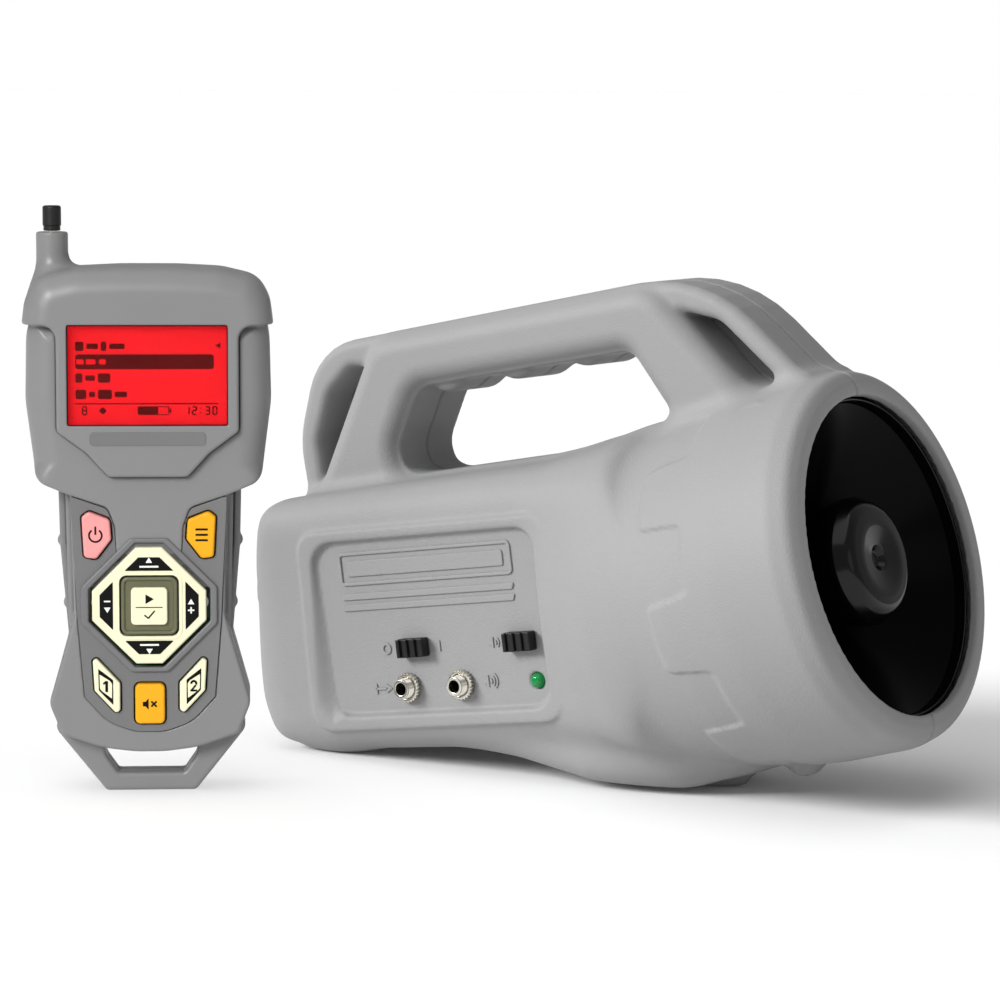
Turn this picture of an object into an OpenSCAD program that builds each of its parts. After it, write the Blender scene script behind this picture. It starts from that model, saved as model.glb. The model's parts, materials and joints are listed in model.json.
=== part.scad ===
// Electronic game caller: a carry-handled speaker unit and its handheld radio remote.
// Frame: +X is the way the horn faces, +Z is up, the control panel is on the -Y side.
// The origin is on the ground, under the keel, in the plane where the two housing halves meet.

/* [Housing] */
// Width of the housing across both halves
housing_w = 74; // [72:0.5:78]
// Wall thickness of the moulded halves
wall = 3; // [2.6:0.1:3.2]
// Nose-up pitch of the housing and its panel, degrees
pitch = 8.5; // [8:0.1:9]
// Depth of the panel recess
recess = 1.8; // [1:0.1:2]

/* [Handle] */
// Width of the grip and its two posts
grip_w = 34; // [32:0.5:36]
// Width of the thinner straps outside the posts
strap_w = 26; // [24:0.5:28]
// Radius of each finger lobe under the grip
lobe_r = 9; // [8.5:0.1:9.5]

/* [Horn] */
// Pitch of the horn's axis, degrees
horn_pitch = 16; // [15:0.5:17]
// Radius of the clear mouth inside the lip
mouth_r = 44.4; // [44:0.1:44.8]
// Largest outer radius of the bell
bell_r = 53; // [52.5:0.1:54]
// Radius of the central reflector
reflector_r = 16.5; // [16:0.1:16.8]

/* [Controls] */
// Bore of each audio jack
jack_bore = 3.6; // [3.5:0.05:3.7]
// Travel of the two slide switches
switch_travel = 3; // [2:0.5:3]
// Diameter of the status lamp
lamp_d = 5; // [4.8:0.1:5.2]

/* [Remote] */
// Turn of the remote about the vertical, degrees
remote_turn = 39; // [30:1:45]
// Distance from the origin back to the remote's centre
remote_back = 98; // [96:1:104]
// Distance from the origin out to the remote's centre
remote_out = 98; // [96:1:104]
// Thickness of the remote behind its parting plane
remote_rear = 13.5; // [13.5:0.1:14]
// Travel of every remote key
key_travel = 0.8; // [0.5:0.1:0.8]

/* [Hidden] */
$fn = 48;

shell_grey = [0.62, 0.62, 0.62];
remote_grey = [0.58, 0.58, 0.58];
half_w = housing_w / 2;
gap = 0.3;

// ---- outline helpers: a vertex is [x, z, corner radius], listed counter-clockwise ----
function unit(v) = v / norm(v);
function xz(v) = [v[0], v[1]];
function turn(v, a) = [v[0] * cos(a) - v[1] * sin(a), v[0] * sin(a) + v[1] * cos(a)];
function corner(a, p, b, r, n) =
  r <= 0 ? [p] :
  let(
    u = unit(a - p),
    w = unit(b - p),
    half = acos(u * w) / 2,
    centre = p + unit(u + w) * r / sin(half),
    start = p + u * r / tan(half) - centre,
    way = cross(start, p - centre) > 0 ? 1 : -1
  ) [for (k = [0:n]) centre + turn(start, way * (180 - 2 * half) * k / n)];
function rounded(v, n = 5) = [
  for (i = [0:len(v) - 1])
    each corner(xz(v[(i + len(v) - 1) % len(v)]), xz(v[i]), xz(v[(i + 1) % len(v)]), v[i][2], n)
];
function inset(v, t) = [
  for (i = [0:len(v) - 1])
    let(
      p = xz(v[i]),
      e = unit(p - xz(v[(i + len(v) - 1) % len(v)])),
      f = unit(xz(v[(i + 1) % len(v)]) - p),
      shift = [-e[1] - f[1], e[0] + f[0]] * t / (1 + e * f),
      r = v[i][2]
    ) [p[0] + shift[0], p[1] + shift[1], r <= 0 ? 0 : max(0.2, cross(e, f) > 0 ? r - t : r + t)]
];
function mirrored(v) = concat(v, [for (i = [len(v) - 1:-1:0]) [-v[i][0], v[i][1], v[i][2]]]);
function box_outline(x0, z0, x1, z1, r) = [[x0, z0, r], [x1, z0, r], [x1, z1, r], [x0, z1, r]];

module along_y(y0, y1) {
  rotate([90, 0, 0])
    translate([0, 0, -y1])
      linear_extrude(y1 - y0)
        children();
}
module slab(v, y0, y1) {
  along_y(y0, y1)
    polygon(rounded(v));
}
module rod_y(x, z, y0, y1, r) {
  along_y(y0, y1)
    translate([x, z])
      circle(r);
}
module wire(from, to, r) {
  d = to - from;
  translate(from)
    rotate([0, acos(d[2] / norm(d)), atan2(d[1], d[0])])
      cylinder(h = norm(d), r = r, $fn = 24);
}

// ---- frames ----
panel_x = -46;
panel_z = 43.5;
mouth_x = 81.4;
mouth_z = 69.9;
module housing_frame() {
  translate([panel_x, 0, panel_z])
    rotate([0, -pitch, 0])
      children();
}
module horn_frame() {
  translate([mouth_x, 0, mouth_z])
    rotate([0, 90 - horn_pitch, 0])
      children();
}
module remote_frame() {
  translate([-remote_back, -remote_out, 0])
    rotate([0, 0, remote_turn])
      children();
}

// ---- housing volumes ----
housing_side = [
  [52, -36, 0], [52, 43.5, 0], [-60, 39, 9], [-67.5, 18, 18],
  [-69.8, -18, 8], [-62, -29.5, 10], [-47, -36, 6]
];
housing_plan = [
  [52, -half_w, 0], [52, half_w, 0], [-70, half_w, 14], [-70, -half_w, 14]
];
housing_section = [
  [-half_w, -36, 12], [half_w, -36, 12], [half_w, 44, 17], [-half_w, 44, 17]
];
module housing_solid(t) {
  housing_frame()
    intersection() {
      slab(inset(housing_side, t), -half_w - 1, half_w + 1);
      translate([0, 0, -60])
        linear_extrude(120)
          polygon(rounded(inset(housing_plan, t)));
      rotate([90, 0, 90])
        translate([0, 0, -90])
          linear_extrude(160)
            polygon(rounded(inset(housing_section, t)));
    }
}
keel_side = [
  [-99, 12, 0], [-97, 0, 3], [-84, 0, 3], [-70, 5, 12], [-26, 5, 12], [-8, 0, 12],
  [36, 0, 10], [50, 6, 6], [54, 20, 0], [30, 30, 0], [-60, 24, 0]
];
keel_plan = [
  [-99, -27, 6], [-8, -31, 30], [30, -24, 20], [54, -8, 5],
  [54, 8, 5], [30, 24, 20], [-8, 31, 30], [-99, 27, 6]
];
module keel_solid(t) {
  intersection() {
    slab(inset(keel_side, t), -40, 40);
    translate([0, 0, -5])
      linear_extrude(60)
        polygon(rounded(inset(keel_plan, t)));
  }
}
// Bell outline: [radius, distance ahead of the mouth plane]
bell_outline = [
  [0, 2.6], [mouth_r + 2, 2.6], [50.5, 1.8], [52.4, -1.2], [bell_r, -6], [bell_r, -22],
  [51.8, -42], [49.6, -58], [47, -72], [42, -82], [34, -92], [0, -92]
];
bell_hollow = [
  [0, 4], [mouth_r, 4], [mouth_r, -3.5], [mouth_r + 2.2, -3.5], [mouth_r + 2.2, -8],
  [mouth_r + 0.6, -8], [mouth_r + 0.6, -10.5], [bell_r - wall - 1, -13], [bell_r - wall - 0.6, -22],
  [51.4 - wall, -42], [49 - wall, -58], [46.2 - wall, -71], [41 - wall, -81], [31, -90], [0, -90]
];
module bell_turned(v) {
  horn_frame()
    rotate_extrude($fn = 96)
      polygon(v);
}

// ---- handle volumes ----
strap_outline = [
  [-107, 58, 0], [50, 84, 0], [52, 103, 0], [61.6, 119.4, 0],
  [28.4, 146.6, 45], [-106.5, 118.6, 20], [-113.4, 90, 30], [-108, 66, 0]
];
loop_outline = [
  [-103, 60, 0], [48, 86, 0], [45, 101.5, 0], [13, 142, 5], [-83.5, 122.6, 4], [-107, 69, 0]
];
grip_opening = [
  [-69.5, 81.3, 6], [4, 95.2, 6], [21.4, 104.8, 4], [6, 124.4, 5], [-67, 109.7, 7], [-75.6, 89, 8]
];
rear_slot = [[-102, 78, 0], [-82, 104, 0], [-86, 113.6, 0], [-93, 113.6, 3], [-101, 105, 10], [-105.4, 90, 8]];
front_slot = [[44, 113.4, 3], [53.6, 117, 2.5], [34, 133.2, 12], [20, 135, 0], [18, 128, 0]];
lobe_pitch = 24;
module finger_lobes() {
  for (k = [0:2])
    rod_y(-59.5 + lobe_pitch * k, 107.4 + lobe_r + 5.1 * k, -grip_w / 2 + 5, grip_w / 2 - 5, lobe_r);
}
module handle_solid() {
  difference() {
    union() {
      difference() {
        slab(strap_outline, -strap_w / 2, strap_w / 2);
        slab(rear_slot, -30, 30);
        slab(front_slot, -30, 30);
      }
      slab(loop_outline, -grip_w / 2, grip_w / 2);
    }
    slab(grip_opening, -30, 30);
  }
  finger_lobes();
}
module handle_hollow() {
  difference() {
    slab(inset(loop_outline, 3.2), -grip_w / 2 + 3.2, grip_w / 2 - 3.2);
    slab(inset(grip_opening, -3.2), -30, 30);
  }
}

// ---- housing screws: [x, z, height of the head's seat] in the part's own frame ----
function housing_point(u, w) = [
  panel_x + u * cos(pitch) - w * sin(pitch), panel_z + u * sin(pitch) + w * cos(pitch)
];
function horn_point(r, s) = [
  mouth_x + s * cos(horn_pitch) - r * sin(horn_pitch), mouth_z + s * sin(horn_pitch) + r * cos(horn_pitch)
];
screw_seats = [
  [housing_point(-61, 12), 31], [housing_point(-61, -15), 31],
  [housing_point(26, 36.4), 24], [housing_point(26, -29), 30],
  [horn_point(44.5, -17), 20], [horn_point(-44.5, -17), 20],
  [[-83, 100], 12], [[24, 116], 12]
];
boss_r = 3.9;
module screw_bosses() {
  for (s = screw_seats)
    rod_y(s[0][0], s[0][1], -s[1] - 3, s[1] + 3, boss_r);
}

module housing_outer() {
  housing_solid(0);
  keel_solid(0);
  bell_turned(bell_outline);
  handle_solid();
}
module housing_hollow() {
  housing_solid(wall);
  keel_solid(wall);
  bell_turned(bell_hollow);
  handle_hollow();
}
module housing_half(side) {
  intersection() {
    union() {
      difference() {
        housing_outer();
        housing_hollow();
      }
      intersection() {
        housing_outer();
        screw_bosses();
      }
    }
    translate([-150, side > 0 ? 0 : -100, -10])
      cube([300, 100, 200]);
  }
}

// ---- control panel places, in the housing frame ----
power_at = [-7, -6.5];
speaker_at = [30.5, -6.5];
aux_at = [-11, -18];
ext_at = [8, -18];
lamp_at = [34, -18];
panel_y = -half_w + recess;
panel_back = -half_w + 5;
board_y = -21.5;
board_t = 1.6;
slot_end = 1.8;
standoffs = [[-37, 20], [37, 14], [-37, -21], [22, -21]];

module shell_right() {
  color(shell_grey)
    difference() {
      union() {
        housing_half(-1);
        housing_frame() {
          slab(box_outline(-41, -28, 41, 27, 6), -half_w + 2.4, panel_back);
          for (p = standoffs)
            rod_y(p[0], p[1], panel_back - 0.5, board_y, 2.6);
        }
      }
      housing_frame() {
        slab(box_outline(-38.5, -25, 38.5, 25, 8), -half_w - 1, panel_y);
        for (p = [power_at, speaker_at])
          slab(box_outline(p[0] - slot_end - switch_travel, p[1] - 1.6, p[0] + slot_end, p[1] + 1.6, 0),
            panel_y - 1, panel_back + 1);
        for (p = [aux_at, ext_at])
          rod_y(p[0], p[1], panel_y - 1, panel_back + 1, 3.1);
        rod_y(lamp_at[0], lamp_at[1], panel_y - 1, panel_back + 1, lamp_d / 2 + 0.1);
        for (p = standoffs)
          rod_y(p[0], p[1], panel_back + 2, board_y + 1, 1.1);
      }
      for (s = screw_seats)
        rod_y(s[0][0], s[0][1], -11, 1, 1.55);
    }
}

// ---- battery bay on the far side, in the housing frame ----
bay = [-53.5, -24.3, 6.5, 27];
hinge_y = half_w - 2;
hinge_w = -22;
module shell_left() {
  color(shell_grey)
    difference() {
      union() {
        housing_half(1);
        housing_frame()
          for (u = [bay[0] - 3, bay[2]])
            translate([u, half_w - 5, hinge_w - 2.5])
              cube([3, 4.5, 5]);
      }
      housing_frame() {
        slab(box_outline(bay[0], bay[1], bay[2], bay[3], 0), half_w - 6, half_w + 1);
        translate([bay[0] - 2, hinge_y, hinge_w])
          rotate([0, 90, 0])
            cylinder(h = bay[2] - bay[0] + 4, r = 1.05);
      }
      for (s = screw_seats) {
        rod_y(s[0][0], s[0][1], -1, s[1] + 1, 1.7);
        rod_y(s[0][0], s[0][1], s[1], half_w + 20, 3.4);
      }
    }
}
module shell_screws() {
  color("dimgray")
    for (s = screw_seats)
      difference() {
        union() {
          rod_y(s[0][0], s[0][1], s[1], s[1] + 2.2, 3.1);
          rod_y(s[0][0], s[0][1], -9.5, s[1] + 0.5, 1.5);
        }
        translate([s[0][0], s[1] + 3, s[0][1]])
          for (a = [0, 90])
            rotate([0, a, 0])
              cube([3.6, 4, 0.8], center = true);
      }
}

// ---- horn and driver, in the horn frame ----
throat_r = 12;
flare_power = 1.7;
flare_front = -4.6;
flare_back = -46;
flare_steps = 14;
function flare(s) =
  throat_r + (mouth_r - 0.8 - throat_r) * pow((s - flare_back) / (flare_front - flare_back), flare_power);
module horn_bell() {
  inner = [for (k = [0:flare_steps])
    let(s = flare_back + (flare_front - flare_back) * k / flare_steps) [flare(s), s]];
  outer = [for (k = [flare_steps:-1:0])
    let(s = flare_back + (flare_front - 3.1 - flare_back) * k / flare_steps) [flare(s) + 2, s]];
  color([0.04, 0.04, 0.04])
    bell_turned(concat(
      [[8, -14], [10, -14], [10, flare_back]], inner,
      [[mouth_r + 1.9, flare_front], [mouth_r + 1.9, flare_front - 3.1]], outer,
      [[28, flare_back], [28, -49], [8, -49]]
    ));
}
module horn_reflector() {
  color([0.05, 0.05, 0.05]) {
    bell_turned([
      [0, -8], [2.2, -7.4], [3.2, -6], [8, -5], [12.5, -2.8], [15, -2.6], [reflector_r, -4.5],
      [reflector_r, -8], [15, -20], [14.2, -31], [12.4, -31], [13, -20], [13, -11], [0, -11]
    ]);
    horn_frame()
      for (a = [0, 120, 240])
        rotate([0, 0, a])
          translate([12.8, -1.2, -31.5])
            cube([5.6, 2.4, 2.4]);
  }
}
module horn_gasket() {
  color("black")
    bell_turned([
      [mouth_r + 0.2, -3.6], [mouth_r + 1.9, -3.6], [mouth_r + 1.9, -4.5], [mouth_r + 0.2, -4.5]
    ]);
}
module driver_cap() {
  color([0.12, 0.12, 0.12])
    bell_turned([[25.5, -49.1], [28, -49.1], [28, -73], [0, -73], [0, -69.1], [25.5, -69.1]]);
}
module driver_magnet() {
  color([0.2, 0.2, 0.2])
    bell_turned([[15, -57.1], [24, -57.1], [24, -64.9], [15, -64.9]]);
}
module driver_yoke() {
  color("silver")
    bell_turned([[0, -53.6], [11, -53.6], [11, -65], [22, -65], [22, -69], [0, -69]]);
}
module driver_top_plate() {
  color("silver")
    bell_turned([[12.8, -53.6], [22, -53.6], [22, -57], [12.8, -57]]);
}
module driver_diaphragm() {
  color("goldenrod")
    bell_turned([
      [0, -49.9], [6, -50.3], [11.4, -51.6], [14, -50.4], [20, -49.3], [25.2, -49.3], [25.2, -50],
      [20, -50], [14, -51.1], [12.3, -52], [12.3, -56.5], [11.5, -56.5], [11.5, -52.4], [6, -51.1], [0, -50.7]
    ]);
}

// ---- electronics, in the housing frame ----
module control_board() {
  color("darkgreen")
    housing_frame()
      difference() {
        slab(box_outline(-41, -25, 41, 24, 2), board_y, board_y + board_t);
        for (p = standoffs)
          rod_y(p[0], p[1], board_y - 1, board_y + board_t + 1, 1.4);
      }
}
module board_screws() {
  color("silver")
    housing_frame()
      for (p = standoffs) {
        rod_y(p[0], p[1], board_y + board_t, board_y + board_t + 1.6, 2.4);
        rod_y(p[0], p[1], board_y - 6, board_y + board_t + 0.2, 1);
      }
}
module chip(u, w, lu, lw, h) {
  slab(box_outline(u - lu / 2, w - lw / 2, u + lu / 2, w + lw / 2, 0), board_y + board_t, board_y + board_t + h);
}
module board_parts() {
  color([0.1, 0.1, 0.1])
    housing_frame() {
      chip(-4, 8, 14, 14, 1.6);
      chip(18, 12, 10, 6, 1.6);
      chip(-24, -8, 12, 8, 1.8);
      for (u = [0, 12])
        rod_y(u, -14, board_y + board_t, board_y + board_t + 8, 4);
    }
}
module radio_receiver() {
  color("navy")
    housing_frame()
      chip(-25, 9, 18, 14, 3);
}
module receiver_aerial() {
  color("black")
    housing_frame()
      translate([-25, board_y + board_t + 3.9, 12]) {
        cylinder(h = 18, r = 0.8);
        translate([3, 0, 18])
          rotate([-90, 0, 0])
            rotate_extrude(angle = 90)
              translate([-3, 0])
                circle(0.8);
        translate([3, 0, 21])
          rotate([0, 90, 0])
            cylinder(h = 40, r = 0.8);
      }
}
module switch_base(at) {
  housing_frame() {
    difference() {
      slab(box_outline(at[0] - 7.5, at[1] - 3.4, at[0] + 4.5, at[1] + 3.4, 0.5), panel_back, panel_back + 5.5);
      slab(box_outline(at[0] - 6, at[1] - 2.2, at[0] + 3, at[1] + 2.2, 0), panel_back - 1, panel_back + 3.4);
    }
    for (k = [-1:1])
      slab(box_outline(at[0] - 1.9 + 3 * k, at[1] - 0.6, at[0] - 1.1 + 3 * k, at[1] + 0.6, 0),
        panel_back + 5.5, board_y);
  }
}
knob_l = 9.7;
knob_h = 5.5;
knob_out = 3.4;
module switch_knob(at) {
  housing_frame() {
    difference() {
      slab(box_outline(at[0] - knob_l / 2, at[1] - knob_h / 2, at[0] + knob_l / 2, at[1] + knob_h / 2, 0.6),
        panel_y - gap - knob_out, panel_y - gap);
      for (k = [-1:1])
        slab(box_outline(at[0] + 2.6 * k - 0.5, at[1] - 4, at[0] + 2.6 * k + 0.5, at[1] + 4, 0),
          panel_y - gap - knob_out - 1, panel_y - gap - knob_out + 0.7);
    }
    slab(box_outline(at[0] - 1.4, at[1] - 1.2, at[0] + 1.4, at[1] + 1.2, 0), panel_y - gap - 0.5, panel_back + 3);
  }
}
module power_switch_base() {
  color("gray") switch_base(power_at);
}
module power_switch_knob() {
  color([0.08, 0.08, 0.08]) switch_knob(power_at);
}
module speaker_switch_base() {
  color("gray") switch_base(speaker_at);
}
module speaker_switch_knob() {
  color([0.08, 0.08, 0.08]) switch_knob(speaker_at);
}
jack_out = 4.6;
module jack_body(at) {
  housing_frame()
    difference() {
      union() {
        rod_y(at[0], at[1], panel_y - jack_out, panel_back + 1, 3);
        slab(box_outline(at[0] - 4.5, at[1] - 4.5, at[0] + 4.5, at[1] + 4.5, 1), panel_back, board_y);
      }
      rod_y(at[0], at[1], panel_y - jack_out - 1, board_y - 1.5, jack_bore / 2);
    }
}
module jack_nut(at) {
  housing_frame()
    difference() {
      rod_y(at[0], at[1], panel_y - 2.2, panel_y, 4.4);
      rod_y(at[0], at[1], panel_y - 3, panel_y + 1, 3.02);
      for (a = [0:30:330])
        rod_y(at[0] + 4.5 * cos(a), at[1] + 4.5 * sin(a), panel_y - 3, panel_y - 0.6, 0.35);
    }
}
module aux_jack_body() {
  color("silver") jack_body(aux_at);
}
module aux_jack_nut() {
  color("silver") jack_nut(aux_at);
}
module speaker_jack_body() {
  color("silver") jack_body(ext_at);
}
module speaker_jack_nut() {
  color("silver") jack_nut(ext_at);
}
module status_lamp() {
  color("green")
    housing_frame() {
      rod_y(lamp_at[0], lamp_at[1], panel_y - 0.6, panel_back, lamp_d / 2);
      rod_y(lamp_at[0], lamp_at[1], panel_y - 1.5, panel_y - 0.5, lamp_d / 2 - 0.8);
      rod_y(lamp_at[0], lamp_at[1], panel_back, panel_back + 1, 2.9);
      for (k = [-1, 1])
        rod_y(lamp_at[0] + 1.2 * k, lamp_at[1], panel_back + 0.9, board_y, 0.35);
    }
}

// ---- battery bay, in the housing frame ----
cell_r = 7.1;
cell_l = 50.2;
cell_y = 23.6;
cell_w0 = -23.6;
cell_us = [for (k = [0:3]) -46 + 15 * k];
tray_wall = 1.8;
module battery_tray() {
  color([0.15, 0.15, 0.15])
    housing_frame()
      difference() {
        slab(box_outline(-55.4, -28.6, 8.4, 31.1, 0), 14.5, 31.5);
        slab(box_outline(-53.6, -26.8, 6.6, 29.3, 0), 14.5 + tray_wall, 32.5);
      }
}
module battery_cells() {
  color("gold")
    housing_frame()
      for (u = cell_us)
        translate([u, cell_y, cell_w0]) {
          cylinder(h = cell_l - 1.2, r = cell_r);
          cylinder(h = cell_l, r = 2.6);
        }
}
module battery_contacts() {
  color("silver")
    housing_frame()
      for (k = [0:3]) {
        translate([cell_us[k], cell_y, -26.7])
          cylinder(h = 3, r1 = 5, r2 = 2.5);
        translate([cell_us[k] - 5, cell_y - 5, cell_w0 + cell_l + 0.1])
          cube([10, 10, 0.8]);
      }
}
module battery_door() {
  color(shell_grey)
    housing_frame()
      difference() {
        union() {
          slab(box_outline(bay[0] + gap, hinge_w, bay[2] - gap, bay[3] - gap, 0), half_w - 3.4, half_w);
          translate([bay[0] + gap, hinge_y, hinge_w])
            rotate([0, 90, 0])
              cylinder(h = bay[2] - bay[0] - 2 * gap, r = 2);
          translate([bay[0] - 1.8, hinge_y, hinge_w])
            rotate([0, 90, 0])
              cylinder(h = bay[2] - bay[0] + 3.6, r = 1);
        }
        slab(box_outline(-30, 22, -16, 30, 2), half_w - 1.4, half_w + 1);
      }
}
module speaker_leads() {
  color("red")
    for (k = [0, 1])
      housing_frame()
        wire([36, board_y + board_t + 0.6, 3 + 3 * k], [56.4, -5, 1 + 3 * k], 0.7);
}
module battery_leads() {
  color("black")
    housing_frame()
      for (k = [0, 1])
        wire([-10 + 4 * k, board_y + board_t, 19.5], [-10 + 4 * k, 14.5, 19.5], 0.7);
}

// ---- remote outlines, in the remote's own frame: x to the right, y away from the face ----
function flipped(v) = [for (i = [len(v) - 1:-1:0]) [-v[i][0], v[i][1], v[i][2]]];
function octagon(hx, hz, s, r) = [
  for (p = [
    [hx, hx - s], [hx, s - hx], [s - hz, hz], [hz - s, hz],
    [-hx, s - hx], [-hx, hx - s], [hz - s, -hz], [s - hz, -hz]
  ]) [p[0], p[1] + pad_z, r]
];
pad_z = 53.7;
hood_outline = mirrored([[-20, 147, 6], [-31.5, 142.6, 6], [-34.5, 136, 4], [-34.5, 131, 0]]);
bezel_outline = mirrored([[-24.9, 140, 0], [-24.9, 102, 1.5], [-16.8, 96, 4], [-10.8, 89.4, 2]]);
top_left = [[-19.3, 144.7, 4], [-29.9, 140.8, 5], [-32.2, 135.5, 3], [-32.2, 130.7, 0]];
body_left = [[-33.3, 130.7, 0], [-33.8, 110, 20], [-31, 88, 4], [-26.4, 86, 0]];
base_left = [[-27.7, 27, 6], [-25, 16, 5], [-10, 11.2, 12]];
front_outline = mirrored(concat(body_left, [[-21.8, 84, 0], [-20.7, 51, 0]], base_left));
rear_outline = mirrored(concat(body_left, [[-25, 69, 0], [-22.9, 44, 4]], base_left));
tab_outline = mirrored([[-32.2, 131.5, 0], [-32.2, 129, 0]]);
cap_outline = mirrored(top_left);
loop_left = [[-24, 22, 0], [-27.2, 18.5, 3], [-12.5, 0, 4]];
lanyard_gap = mirrored([[-12.6, 11.2, 1.2], [-8.8, 5.1, 2]]);
plate_outline = mirrored([[-21.2, 86.5, 1], [-20, 57.5, 0], [-18.6, 45.4, 3], [-17.6, 26, 4], [-8, 17.4, 8]]);
power_outline = [
  [-17.9, 67, 1.2], [-14.4, 66.5, 1.5], [-10.2, 72, 1.5], [-10.6, 77.6, 1.5], [-16.5, 79.9, 1.5], [-18.5, 78.3, 1]
];
one_outline = [
  [-15.3, 29.8, 1.2], [-9.2, 23.2, 1], [-8.1, 24.5, 0.6], [-8.1, 32, 1], [-14.6, 39, 0.8], [-15.8, 38.2, 0.6]
];
mute_outline = box_outline(-4.2, 20.4, 4.2, 31.8, 1.5);
select_outline = box_outline(-7.9, pad_z - 8.2, 7.9, pad_z + 8.2, 2);
screen_outline = box_outline(-21.9, 103.6, 21.9, 131.1, 1);
face_y = -11;
plate_y = -11.4;
remote_wall = 2;
hood_front = -14.5;
board_front = -6;
dome_h = 1;
key_back = board_front - dome_h - 0.4 - key_travel;
antenna_x = -26.4;
antenna_y = 2;
case_screws = [[-22, 91], [22, 91], [-20, 24], [20, 24]];
remote_grip = box_outline(-17, 38, 17, 83, 2);

module antenna_bore(r, z0, z1) {
  translate([antenna_x, antenna_y, z0])
    cylinder(h = z1 - z0, r = r);
}
module remote_hood() {
  color(remote_grey)
    remote_frame()
      difference() {
        union() {
          difference() {
            union() {
              slab(hood_outline, hood_front, 13.8);
              antenna_bore(4.4, 141, 155.9);
            }
            slab(inset(hood_outline, 2), face_y - 0.2, 12.3);
            slab(box_outline(-32.5, 129, 32.5, 134, 0), face_y - 0.2, 12.3);
          }
          slab(bezel_outline, hood_front, face_y - 0.2);
        }
        slab(screen_outline, hood_front - 1, hood_front + 1.05);
        slab(inset(screen_outline, -1.2), hood_front + 1, face_y + 1);
        antenna_bore(2.75, 130, 157);
      }
}
module case_loop(y0, y1) {
  difference() {
    slab(mirrored(loop_left), y0, y1);
    slab(lanyard_gap, y0 - 1, y1 + 1);
    slab(inset(mirrored(base_left), 2), y0 - 1, y1 + 1);
  }
}
module remote_front_case() {
  color(remote_grey)
    remote_frame()
      difference() {
        union() {
          difference() {
            union() {
              slab(front_outline, face_y, 0);
              slab(cap_outline, face_y, 0);
              slab(tab_outline, face_y, 0);
            }
            slab(inset(front_outline, remote_wall), face_y + remote_wall, 1);
            slab(inset(cap_outline, remote_wall), face_y + remote_wall, 1);
            slab(box_outline(-30.2, 126, 30.2, 134, 0), face_y + remote_wall, 1);
          }
          case_loop(-4.6, 0);
          for (p = case_screws)
            rod_y(p[0], p[1], face_y + 1, 0, 3);
        }
        slab(inset(screen_outline, -0.5), face_y - 1, face_y + 3);
        slab(inset(plate_outline, -0.1), face_y - 1, face_y + 0.8);
        slab(octagon(16.7, 17.3, 21.2, 1), face_y - 1, face_y + 3);
        for (v = [power_outline, flipped(power_outline), one_outline, flipped(one_outline), mute_outline])
          slab(inset(v, -0.4), face_y - 1, face_y + 3);
        for (p = case_screws)
          rod_y(p[0], p[1], -7.5, 1, 1.25);
        antenna_bore(2.85, 92, 150);
      }
}
module remote_back_case() {
  color(remote_grey)
    remote_frame()
      difference() {
        union() {
          difference() {
            union() {
              slab(rear_outline, 0, remote_rear);
              slab(cap_outline, 0, 12.1);
              slab(tab_outline, 0, 12.1);
            }
            slab(inset(rear_outline, remote_wall), -1, remote_rear - remote_wall);
            slab(inset(cap_outline, remote_wall), -1, 12.1 - remote_wall);
            slab(box_outline(-30.2, 126, 30.2, 134, 0), -1, 12.1 - remote_wall);
          }
          case_loop(0, 4.6);
          for (p = case_screws)
            rod_y(p[0], p[1], 0, remote_rear - 1, 3.6);
        }
        slab(inset(remote_grip, -gap), remote_rear - 3, remote_rear + 1);
        for (p = case_screws) {
          rod_y(p[0], p[1], -1, 12, 1.4);
          rod_y(p[0], p[1], 10.9, remote_rear + 1, 2.8);
        }
        antenna_bore(2.85, 92, 150);
      }
}
module remote_screws() {
  color("dimgray")
    remote_frame()
      for (p = case_screws) {
        rod_y(p[0], p[1], 11, 12.8, 2.5);
        rod_y(p[0], p[1], -7, 11.2, 1.2);
      }
}
module remote_window() {
  color([0.9, 0.2, 0.2, 0.4])
    remote_frame()
      slab(inset(screen_outline, -1), hood_front + 1.1, hood_front + 2.3);
}
module remote_display() {
  color("red")
    remote_frame() {
      slab(box_outline(-24.5, 100.5, 24.5, 134.5, 0.5), -8.9, -6.1);
      slab(inset(screen_outline, 0.3), face_y - 0.1, -8.8);
    }
}
module remote_key_plate() {
  color([0.4, 0.4, 0.41])
    remote_frame()
      difference() {
        slab(plate_outline, plate_y, face_y + 0.75);
        slab(octagon(16.7, 17.3, 21.2, 1), plate_y - 1, face_y + 2);
        for (v = [power_outline, flipped(power_outline), one_outline, flipped(one_outline), mute_outline])
          slab(inset(v, -0.4), plate_y - 1, face_y + 2);
      }
}
module pad_surround() {
  color([0.5, 0.5, 0.51])
    remote_frame()
      difference() {
        slab(octagon(18.7, 18.7, 23.8, 2), plate_y - 1.4, plate_y);
        slab(octagon(16.7, 17.3, 21.2, 1), plate_y - 2, plate_y + 1);
      }
}
pad_back = -9.6;
rocker_front = -8.5;
rocker_back = -7.3;
module ridge(x, z, y, along_z) {
  translate([x, y, z])
    rotate(along_z ? [0, 0, 0] : [0, 90, 0])
      cylinder(h = 3, r = 1, center = true);
}
module pad_rocker() {
  color([0.25, 0.25, 0.26])
    remote_frame() {
      difference() {
        slab(box_outline(-11.4, pad_z - 11.4, 11.4, pad_z + 11.4, 3.6), rocker_front, rocker_back);
        slab(box_outline(-8.6, pad_z - 8.6, 8.6, pad_z + 8.6, 1), rocker_front - 1, rocker_back + 1);
      }
      for (k = [-1, 1]) {
        ridge(9.9 * k, pad_z, pad_back + 1.03, false);
        ridge(0, pad_z + 9.9 * k, board_front - 1.03, true);
      }
    }
}
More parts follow.
